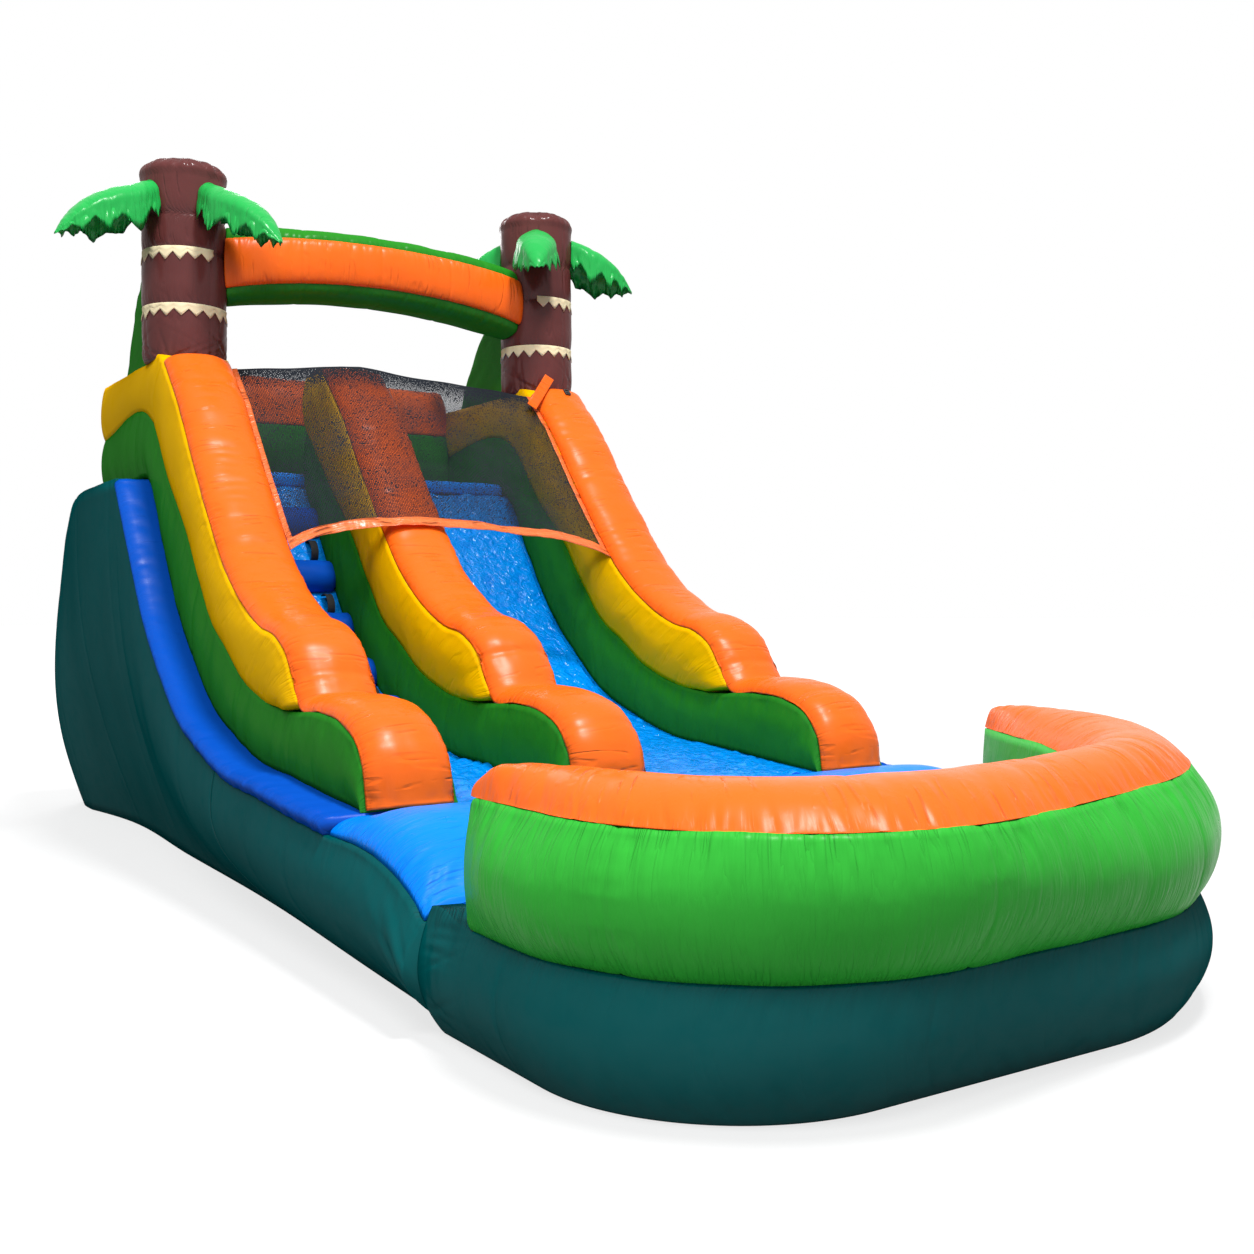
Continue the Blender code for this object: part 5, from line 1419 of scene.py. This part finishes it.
archLook = {
    "halfDepth": 0.20, "faceDepth": 0.05, "endBottom": 3.645, "faceHeight": 0.34,
    "middleHeight": 0.29, "rise": 0.17, "lip": 0.095, "belly": 0.095,
    "seamShares": (0.24, 0.50, 0.74),
    "endShare": 0.70,
    "columns": 320,
    "tubeCreases": ((0.05, 0.008, 0.06), (0.16, 0.006, 0.12)),
    "faceTopCreases": (0.04, 0.009, 0.06), "faceLowCreases": (0.05, 0.003, 0.05),
    "faceSlowCreases": (0.12, 0.006, 0.12),
}


def archHeights(x):
    share = 1 - (x / railX["right"]) ** 2
    bottom, height = archLook["endBottom"] + archLook["rise"] * share, archLook["faceHeight"]
    return bottom, bottom + height + (archLook["middleHeight"] - height) * share


def archRows(section):  # section holds (depth, share of the height, lift) for each column
    depth, up, lift = np.array(section).T
    reach = np.linspace(-1, 1, archLook["columns"])[:, None]
    radius, narrow = palmLook["radius"] + 0.003, archLook["endShare"]
    ends = railX["right"] - np.sqrt(radius**2 - np.minimum(np.abs(depth * narrow), radius * 0.97) ** 2)
    x = reach * ends
    low, high = archHeights(x)
    y = depth * (1 - (1 - narrow) * np.exp(-(1 - np.abs(reach)) / 0.12))
    return layOut(x, y, low + (high - low) * up + lift)


def archShape(places, shape, shown, seamLength, seed):  # adds the seams, and keeps the ends at the trunks
    down, girth = runsOf(places)
    shape += panelSeams(down, girth, seamLength * np.array(archLook["seamShares"]), 0.005, seed)
    ends = np.clip(np.minimum(down, down[-1, 0] - down) / 0.04, 0, 1)
    return pushed(places, shape * shown * ends)


def archTube():
    half = archLook["halfDepth"] - slide["clear"]
    t = np.linspace(0, math.pi, 15)[1:-1]
    section = [(-half, s, 0.0) for s in np.linspace(0, 1, 6)]
    section += [(-half * math.cos(a), 1.0, archLook["lip"] * math.sin(a) ** 0.8) for a in t]
    section += [(half, s, 0.0) for s in np.linspace(1, 0, 8)]
    section += [(half * math.cos(a), 0.0, -archLook["belly"] * math.sin(a) ** 0.8) for a in t]
    places = archRows([*section, section[0]])
    down, girth = runsOf(places)
    gap = np.minimum(np.minimum(np.abs(girth), girth[:, -1:] - girth), np.abs(girth - girth[:, 5:6]))
    shown = (np.arange(places.shape[1]) > 5) * (np.arange(places.shape[1]) < places.shape[1] - 1)
    shape = creases(down, gap, archLook["tubeCreases"], 900) + 0.002 * ripple(down, girth, 0.25, 903)
    places = archShape(places, shape, shown, down[-1, 0], 902)
    skin("archTube", places, gap, green, ["arch_tube"], "green_vinyl")
    return down[-1, 0]


def archFace(seamLength):  # its seams are as far along as the tube's
    back = -archLook["halfDepth"]
    t = np.linspace(0, math.pi, 25)
    section = [(back - archLook["faceDepth"] * math.sin(a) ** 0.75, (1 - math.cos(a)) / 2, 0.0) for a in t]
    section += [(back, s, 0.0) for s in (0.75, 0.5, 0.25)]
    places = archRows([*section, section[0]])
    down, girth = runsOf(places)
    fromTop = np.abs(girth[:, len(t) - 1 : len(t)] - girth)
    shown = np.arange(places.shape[1]) < len(t)
    shape = puckers(down, fromTop, *archLook["faceTopCreases"], 910, 0.3)
    shape += puckers(down, girth, *archLook["faceLowCreases"], 911)
    shape += puckers(down, fromTop, *archLook["faceSlowCreases"], 912)
    gap = np.minimum(np.abs(girth), fromTop)
    places = archShape(places, shape, shown, seamLength, 913)
    skin("archFace", places, gap, orange, ["arch_face"], "orange_vinyl")


for number, side in enumerate(("left", "right")):
    trunk(side, 300 + 50 * number)
    wing(side, 340 + 50 * number)
    for level in ("lower", "upper"):
        trunkBand(side, level, 350 + 50 * number)
    for i, (degrees, share) in enumerate(frondLook["turns"][side]):
        frond(side, i + 1, degrees, share, 400 + 30 * number + 5 * i)
archFace(archTube())
print("palms and arch ready")


# Net over both lanes: fine mesh in a narrow hem, with its tie at the right

netLook = {
    "over": 0.014,
    "topRun": 0.005, "length": 1.405, "lift": 0.008, "flareShare": 0.09, "flarePower": 6,
    "sideHem": 0.035, "bottomHem": 0.075, "hemThickness": 0.003, "hemOff": 0.002,
    "rest": [(-0.60, 0.97), (0.0, 1.08), (0.60, 0.97)],
    "sag": 0.006, "sagPitch": 0.5, "fold": 0.004, "foldPitch": 0.16,
    "easeIn": 0.25,  # from a side to where the sag is full
    "bottomCreases": (0.022, 0.006, 0.03), "sideCreases": (0.03, 0.005, 0.02),
}
steep = Vector((seamLine[4][1] - seamLine[0][1], seamLine[0][0] - seamLine[4][0])).normalized()


def netGrid(xs, runs):
    seam = np.array(seamLine)
    places = arcPlaces(seam)
    middle, half, lift = railX["middle"], slide["railHalf"], netLook["lift"]
    flared = runs[:, None] * (1 + netLook["flareShare"] * np.abs(xs / laneEdge) ** netLook["flarePower"])
    y, z = (np.interp(netLook["topRun"] + flared, places, seam[:, i]) for i in (0, 1))
    rest = [(middle + half * x, railLook["crown"] * up + netLook["over"]) for x, up in netLook["rest"]]
    spots = [(-laneEdge, -lift), *rest, (laneEdge, -lift)]
    lift = np.interp(xs, [x for x, _ in spots], [up for _, up in spots]) + lift
    turns = [-laneEdge, -laneEdge + netLook["easeIn"], laneEdge - netLook["easeIn"], laneEdge]
    inner = np.interp(xs, turns, [0, 1, 1, 0])
    down, across = np.broadcast_arrays(runs[:, None], xs)
    sag = netLook["sag"] * ripple(down, across, netLook["sagPitch"], 950) * inner
    sag += netLook["fold"] * ripple(down, across * 0.3, netLook["foldPitch"], 951) * inner
    return layOut(xs, y + steep.x * (lift + sag), z + steep.y * (lift + sag)), down, across


def meshMaterial():
    made, tree, shader = newMaterial("netMesh")
    maths = partial(mathNode, tree)
    spot = pieceMap(tree)
    fromTop = addNode(tree, "SeparateXYZ", {0: spot}).outputs["X"]
    inputs = {"Scale": 95.0, "Randomness": 0.35, "Vector": spot}
    cells = addNode(tree, "TexVoronoi", inputs, feature="DISTANCE_TO_EDGE")
    slow = noiseNode(tree, spot, 3.0, 3.0)
    gathered = maths("MAXIMUM", maths("SUBTRACT", 0.16, maths("MULTIPLY", fromTop, 0.7)), 0.0)
    width = maths("ADD", gathered, maths("ADD", 0.155, maths("MULTIPLY", slow, 0.14)))
    strand = maths("LESS_THAN", cells.outputs["Distance"], width)
    binding = maths("LESS_THAN", fromTop, 0.02)
    # The open mesh lets most of the light through, so that its shade stays faint.
    shaded = addNode(tree, "LightPath").outputs["Is Shadow Ray"]
    thin = maths("SUBTRACT", 1.0, maths("MULTIPLY", shaded, 0.7))
    feed(tree, shader["Alpha"], maths("MULTIPLY", maths("MAXIMUM", strand, binding), thin))
    colour = mixColours(tree, slow, (0.006, 0.008, 0.012, 1), (0.03, 0.034, 0.042, 1))
    feed(tree, shader["Base Color"], colour)
    shader["Roughness"].default_value = 0.6
    shader["Specular IOR Level"].default_value = 0.02
    return made


netMesh = meshMaterial()
hemOrange = vinyl("hemVinyl", (1.0, 0.22, 0.05), (0.75, 0.10, 0.02), gloss=0.5, coatRough=0.2,
                  pitch=60, crease=0.012, crown=2.0, shine=0.3, smooth=0.2)


def netPanel(hem):
    reach, length = laneEdge - netLook["sideHem"], netLook["length"]
    places, _, _ = netGrid(np.linspace(-reach, reach, 121), np.linspace(0, length, 81))
    gap = np.ones(places.shape[:2])
    net = skin("netPanel", places, gap, netMesh, ["net_panel"], "black_mesh", wrap=False, closed=False)


def netHem():
    wide, low, length = netLook["sideHem"], netLook["bottomHem"], netLook["length"]
    reach, edge = laneEdge - wide, laneEdge - 0.0003
    sideSteps = np.linspace(0, wide, 5)
    hemXs = np.concatenate([-edge + sideSteps, np.linspace(-reach, reach, 241)[1:-1], reach + sideSteps])
    hemRuns = np.concatenate([np.linspace(0, length, 161), length + np.linspace(0, low, 7)[1:]])
    grid, down, across = netGrid(hemXs, hemRuns)
    inSide = np.abs(np.abs(across) - (edge - wide / 2))
    inBottom = np.abs(down - length - low / 2)
    bottom = down > length - 0.001
    bottomShape = puckers(across, inBottom, *netLook["bottomCreases"], 960, 0.6)
    sideShape = puckers(down, inSide, *netLook["sideCreases"], 961, 0.6)
    shape = np.where(bottom, bottomShape, sideShape)
    shape += 0.002 * ripple(down, across, 0.12, 962)
    for axis, way in ((1, steep.x), (2, steep.y)):
        grid[..., axis] += way * (shape + netLook["hemOff"])
    gap = np.where(bottom, np.minimum(down - length, length + low - down), 0.01)
    hem = skin("netHem", grid, gap, hemOrange, ["net_hem"], "orange_vinyl", wrap=False, closed=False)
    # Cuts the net's place out of the grid.
    bm = bmesh.new()
    bm.from_mesh(hem.data)
    steps = len(hemXs) - 1
    bm.faces.ensure_lookup_table()
    mid = [face for face in bm.faces if 4 <= face.index % steps < steps - 4 and face.index // steps < 160]
    bmesh.ops.delete(bm, geom=mid, context="FACES")
    bm.to_mesh(hem.data)
    bm.free()
    hem.data.shade_smooth()
    thicken(hem, netLook["hemThickness"])
    return hem


tieLook = {
    "foot": (1.005, -0.475, 3.05), "top": (1.235, -0.335, 3.30),
    "width": 0.075, "thickness": 0.004,
}


def tieStrap():  # from the trunk's foot down to the net's corner
    low, high = Vector(tieLook["foot"]), Vector(tieLook["top"])
    length = (high - low).length
    up = (high - low).normalized()
    across = Vector((1, 0, 0))
    across = (across - up * across.dot(up)).normalized()
    place = standing((across, up.cross(across), up), low)
    path = [(-0.012, -0.01), (0.0, 0.012), (-0.006, length * 0.35), (0.004, length * 0.7), (0.0, length)]
    width, thickness = tieLook["width"], tieLook["thickness"]
    strapAlong("tieStrap", path, 0, width, thickness, orange, ["tie_strap"], place=place)


def worn(name, colour, rough, shade, metallic=0.0):  # a hard finish with fine marks
    made, tree, shader = newMaterial(name)
    marks = noiseNode(tree, objectSpot(tree), 260.0, 4.0, 0.6)
    darker = tuple(part * shade for part in colour)
    feed(tree, shader["Base Color"], mixColours(tree, marks, (*colour, 1), (*darker, 1)))
    feed(tree, shader["Roughness"], mathNode(tree, "ADD", rough, mathNode(tree, "MULTIPLY", marks, 0.25)))
    shader["Metallic"].default_value = metallic
    return made


zinc = worn("zincPlate", (0.62, 0.63, 0.66), 0.22, 0.75, 1.0)
blackPlastic = worn("blackPlastic", (0.02, 0.02, 0.022), 0.35, 0.7)


def buckle():  # a double-slotted slider with webbing folded through it
    bm = bmesh.new()
    bm.from_mesh(bpy.data.objects["strap_buckle"].data)
    bmesh.ops.remove_doubles(bm, verts=bm.verts[:], dist=0.00005)
    bmesh.ops.dissolve_limit(bm, angle_limit=0.02, verts=bm.verts[:], edges=bm.edges[:])
    mesh = meshOf(bm, "strapBuckle", smooth=False)
    soften(finished("strapBuckle", mesh, blackPlastic, ["strap_buckle"]), 0.0018, 3)


netPanel(netHem())
tieStrap()
buckle()
print("net ready")


# Fittings: the blower's sleeve, the zip and its flap, and the tie-down rings

fitLook = {
    "wall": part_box("blower_sleeve")[0].y,
    "sleeveX": 0.55, "sleeveZ": 0.30, "sleeveRadius": 0.149, "sleeveLength": 0.35,
    "sleeveThickness": 0.003,
    "cuff": 0.05,  # from the sleeve's end to its seam
    "cuffCreases": (0.03, 0.006, 0.05), "wallCreases": (0.05, 0.008, 0.08),
    "zipLow": -0.70, "zipHigh": -0.10, "zipZ": 0.45,
    "tapeHalf": 0.025, "tapeOff": 0.0016, "tapeThickness": 0.002,
    "zipTeeth": 120, "teethIn": 0.004,
    "toothSize": (0.0028, 0.0028, 0.0052), "toothOff": 0.0042, "toothShift": 0.0012,
    "flapLow": -0.74, "flapHigh": -0.06, "flapHeight": 0.12, "flapOff": 0.017, "flapThickness": 0.002,
    "tabWidth": 0.05, "tabLength": 0.12, "tabThickness": 0.0022,
    "wire": 0.004, "ringHeight": 0.050, "eye": 0.0048,
}


def blowerSleeve():
    radius, length = fitLook["sleeveRadius"], fitLook["sleeveLength"]
    angles = np.linspace(0, 2 * math.pi, 97)
    along = np.linspace(0, length, 61)[:, None]
    x, z = fitLook["sleeveX"] + radius * np.cos(angles), fitLook["sleeveZ"] + radius * np.sin(angles)
    rows = layOut(x, fitLook["wall"] + along, z)
    down, girth = runsOf(rows)
    mouth = np.abs(down - (length - fitLook["cuff"]))
    shape = puckers(girth, mouth, *fitLook["cuffCreases"], 970)
    shape += puckers(girth, down, *fitLook["wallCreases"], 971)
    shape += seamPull(mouth, 0.004, 0.004) + 0.004 * ripple(down, girth, 0.14, 972)
    rows = pushed(rows, np.minimum(shape - 0.004, 0))
    looks = {"closed": False, "turned": True}
    sleeve = skin("blowerSleeve", rows, mouth, teal, ["blower_sleeve"], "teal_vinyl", **looks)
    thicken(sleeve, fitLook["sleeveThickness"], -1)


def blockIn(bm, centre, size, rounding=0, segments=1, upright=False):
    # A block, with all its edges or only those along Y rounded.
    place = Matrix.Translation(centre) @ Matrix.Diagonal((*size, 1))
    made = bmesh.ops.create_cube(bm, size=1, matrix=place)
    edges = list(dict.fromkeys(edge for vert in made["verts"] for edge in vert.link_edges))
    if upright:
        edges = [edge for edge in edges if abs(edge.verts[0].co.y - edge.verts[1].co.y) > 0.001]
    if rounding:
        bmesh.ops.bevel(
            bm, geom=edges, offset=rounding, segments=segments,
            affect="EDGES", profile=0.5, material=-1,
        )


def zipTape():
    wall, z, half, margin = (fitLook[key] for key in ("wall", "zipZ", "tapeHalf", "teethIn"))
    start, length = fitLook["zipLow"], fitLook["zipHigh"] - fitLook["zipLow"]
    path = [(wall + fitLook["tapeOff"], z + half * way) for way in (-1, 0, 1)]
    middle, thickness = start + length / 2, fitLook["tapeThickness"]
    strapAlong("zipTape", path, middle, length, thickness, webbing, ["zip_tape"])
    bm = bmesh.new()
    for i in range(fitLook["zipTeeth"]):
        x = start + margin + (length - 2 * margin) * i / (fitLook["zipTeeth"] - 1)
        shift = fitLook["toothShift"] * (1 if i % 2 else -1)
        blockIn(bm, (x, wall + fitLook["toothOff"], z + shift), fitLook["toothSize"], 0.0006)
    finished("zipTeeth", meshOf(bm, "zipTeeth", smooth=False), blackPlastic, ())


def zipSlider():  # two plates on a bridge, and the pull
    low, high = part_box("zip_slider")
    x, y, z = (low + high) / 2
    bm = bmesh.new()
    blockIn(bm, (x, low.y + 0.001, z), (0.022, 0.002, 0.022), 0.005, 5, upright=True)
    blockIn(bm, (x, high.y - 0.0035, z), (0.0198, 0.0022, 0.0198), 0.005, 5, upright=True)
    blockIn(bm, (x, y - 0.001, z), (0.004, 0.006, 0.009))
    blockIn(bm, (x + 0.004, high.y - 0.0012, z - 0.002), (0.018, 0.0016, 0.008), 0.003, 4, upright=True)
    mesh = meshOf(bm, "zipSlider", smooth=False)
    soften(finished("zipSlider", mesh, zinc, ["zip_slider"], "zip_slider"), 0.0004)


def zipFlap():
    wall, off = fitLook["wall"] + fitLook["tapeOff"], fitLook["flapOff"]
    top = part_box("zip_flap")[1].z - 0.0015
    path = [(wall + 0.0002, top), (wall + off * 0.6, top - off * 0.35), (wall + off, top - off)]
    path = curveThrough([*path, (wall + off, top - fitLook["flapHeight"])], 0.004)
    xs = np.linspace(fitLook["flapLow"], fitLook["flapHigh"], 137)
    rows = layOut(xs, path[:, :1], path[:, 1:])
    down, across = runsOf(rows)
    loose = np.clip(down / 0.05, 0, 1)
    rows[..., 1] += loose * np.minimum(0.002 * ripple(across, down * 0.3, 0.12, 975), 0.0025)
    looks = {"wrap": False, "closed": False, "turned": True}
    flap = skin("zipFlap", rows, down, teal, ["zip_flap"], "teal_vinyl", "zip_flap", **looks)
    thicken(flap, fitLook["flapThickness"])


anchorSpots = {  # where each tab's foot stands, the way its ring's bar runs, and the way out
    "back_left": ((-0.95, 3.3603, 0.20), (1, 0, 0), (0, 1, 0)),
    "back_right": ((0.95, 3.3603, 0.20), (1, 0, 0), (0, 1, 0)),
    "front_right": (
        (1.66222, -3.19947, 0.18907), (0.03661, -0.99874, -0.03421), (0.8339, 0.04939, -0.5497),
    ),
}


def anchorTab(side):
    origin, across, out = (Vector(value) for value in anchorSpots[side])
    length, outer = fitLook["tabLength"], fitLook["eye"] + 0.004
    eye = outer - 0.002  # the radius of the webbing's middle round the bar
    loop = [(0.0024, length), (0.0024, 0.06), (0.0024, 0.02)]
    for angle in np.linspace(math.pi * 0.96, math.pi * 2.35, 22):
        loop.append((outer + eye * math.cos(angle), eye * math.sin(angle)))
    loop += [(0.0062, 0.022), (0.0062, 0.05), (0.0062, length - 0.012)]
    place = standing((across, out, across.cross(out)), origin)
    name, node = "anchorTab_" + side, "anchor_tab_" + side
    width, thickness = fitLook["tabWidth"], fitLook["tabThickness"]
    strapAlong(name, loop, 0, width, thickness, webbing, [node], place=place)


def anchorRing(side):
    origin, across, out = (Vector(value) for value in anchorSpots[side])
    half = fitLook["tabWidth"] / 2 + 0.003 + fitLook["wire"]
    level = Vector((0, 0, 1)).cross(across).normalized()
    hang = standing((across, level, across.cross(level)), origin + out * (fitLook["eye"] + 0.004))
    angles = np.linspace(0, math.pi, 41)
    path = [(half * math.cos(a), 0, -fitLook["ringHeight"] * math.sin(a) ** 0.9) for a in angles]
    path += [(-half + 2 * half * i / 12, 0, 0) for i in range(1, 12)]
    curve = bpy.data.curves.new("anchorRing_" + side, "CURVE")
    curve.dimensions = "3D"
    curve.bevel_depth = fitLook["wire"] - 0.0001
    curve.bevel_resolution = 5
    spline = curve.splines.new("POLY")
    spline.points.add(len(path) - 1)
    for point, spot in zip(spline.points, path):
        point.co = (*(hang @ Vector(spot)), 1)
    spline.use_cyclic_u = True
    helper = linked("ringPath", curve)
    mesh = bpy.data.meshes.new_from_object(helper.evaluated_get(bpy.context.evaluated_depsgraph_get()))
    bpy.data.objects.remove(helper)
    mesh.shade_smooth()
    mesh.materials.clear()
    finished("anchorRing_" + side, mesh, zinc, ["anchor_ring_" + side], "ring_" + side)


blowerSleeve()
zipTape()
zipSlider()
zipFlap()
for side in anchorSpots:
    anchorTab(side)
    anchorRing(side)
print("fittings ready")


# Camera at the photograph's place, a plain floor, and soft studio light

cameraLook = {
    "place": (-3.919, -9.174, 1.573),
    "yaw": 33.382, "pitch": -0.585, "roll": -0.238,  # degrees
    "lens": 39.99,
}


def aimedCamera():
    yaw, pitch, roll = (math.radians(cameraLook[key]) for key in ("yaw", "pitch", "roll"))
    forward = Vector((math.sin(yaw) * math.cos(pitch), math.cos(yaw) * math.cos(pitch), math.sin(pitch)))
    level = Vector((math.cos(yaw), -math.sin(yaw), 0))
    up = level.cross(forward)
    right = math.cos(roll) * level + math.sin(roll) * up
    top = math.cos(roll) * up - math.sin(roll) * level
    data = bpy.data.cameras.new("camera")
    data.sensor_width = 36
    data.lens = cameraLook["lens"]
    camera = linked("camera", data)
    camera.matrix_world = standing((right, top, -forward), cameraLook["place"])
    bpy.context.scene.camera = camera


lampLook = {  # place, aim, size, watts
    "key": ((0, -8.5, 17.5), (0, -1.5, 1), 3.2, 2600),
    "fill": ((-7, -10, 12), (0, -1.5, 1), 6, 950),
    "back": ((3, 14, 10), (0, 0, 2), 6, 700),
}


def softLight(name, place, target, size, power):
    data = bpy.data.lights.new(name, "AREA")
    data.shape = "DISK"
    data.size = size
    data.energy = power
    lamp = linked(name, data)
    lamp.location = place
    lamp.rotation_mode = "QUATERNION"
    lamp.rotation_quaternion = (Vector(target) - Vector(place)).to_track_quat("-Z", "Y")
    lamp.visible_glossy = name != "fill"  # the fill only lifts the shade


def seenRays(tree):  # 1 for what the camera, a reflection or a clear piece sees
    rays = addNode(tree, "LightPath").outputs
    seen = mathNode(tree, "MAXIMUM", rays["Is Camera Ray"], rays["Is Glossy Ray"])
    return mathNode(tree, "MAXIMUM", seen, rays["Is Transmission Ray"])


floorLook = {
    "half": 200, "low": 0.004, "colour": (0.22, 0.22, 0.222, 1),
    "fade": {"From Min": 5.5, "From Max": 16.0, "To Min": 0.74, "To Max": 1.0},
}


def stageFloor():
    bm = bmesh.new()
    bmesh.ops.create_grid(bm, x_segments=1, y_segments=1, size=floorLook["half"])
    mesh = meshOf(bm, "floor", smooth=False)
    floor = linked("floor", mesh)
    floor.location.z = -floorLook["low"]
    made, tree, shader = newMaterial("paleFloor")
    shader["Base Color"].default_value = floorLook["colour"]
    shader["Roughness"].default_value = 0.9
    # Its own light grows to the backdrop's white far from the slide.
    away = addNode(tree, "VectorMath", {0: objectSpot(tree)}, operation="LENGTH").outputs["Value"]
    far = {"Value": away, **floorLook["fade"]}
    far = addNode(tree, "MapRange", far, interpolation_type="SMOOTHSTEP").outputs["Result"]
    glow = addNode(tree, "Emission", {"Strength": mathNode(tree, "MULTIPLY", seenRays(tree), far)})
    surface = tree.nodes["Principled BSDF"].outputs[0]
    joined = addNode(tree, "AddShader", {0: surface, 1: glow.outputs[0]})
    feed(tree, tree.nodes["Material Output"].inputs["Surface"], joined.outputs[0])
    mesh.materials.append(made)


worldLook = {"light": 0.38, "seen": 1.0}


def studioWorld():
    world = bpy.data.worlds.new("studio")
    bpy.context.scene.world = world
    world.use_nodes = True
    tree = world.node_tree
    more = worldLook["seen"] - worldLook["light"]
    backdrop = tree.nodes["Background"].inputs
    backdrop["Color"].default_value = (1, 1, 1, 1)
    strength = mathNode(tree, "ADD", worldLook["light"], mathNode(tree, "MULTIPLY", seenRays(tree), more))
    feed(tree, backdrop["Strength"], strength)


aimedCamera()
for name, look in lampLook.items():
    softLight(name, *look)
stageFloor()
studioWorld()
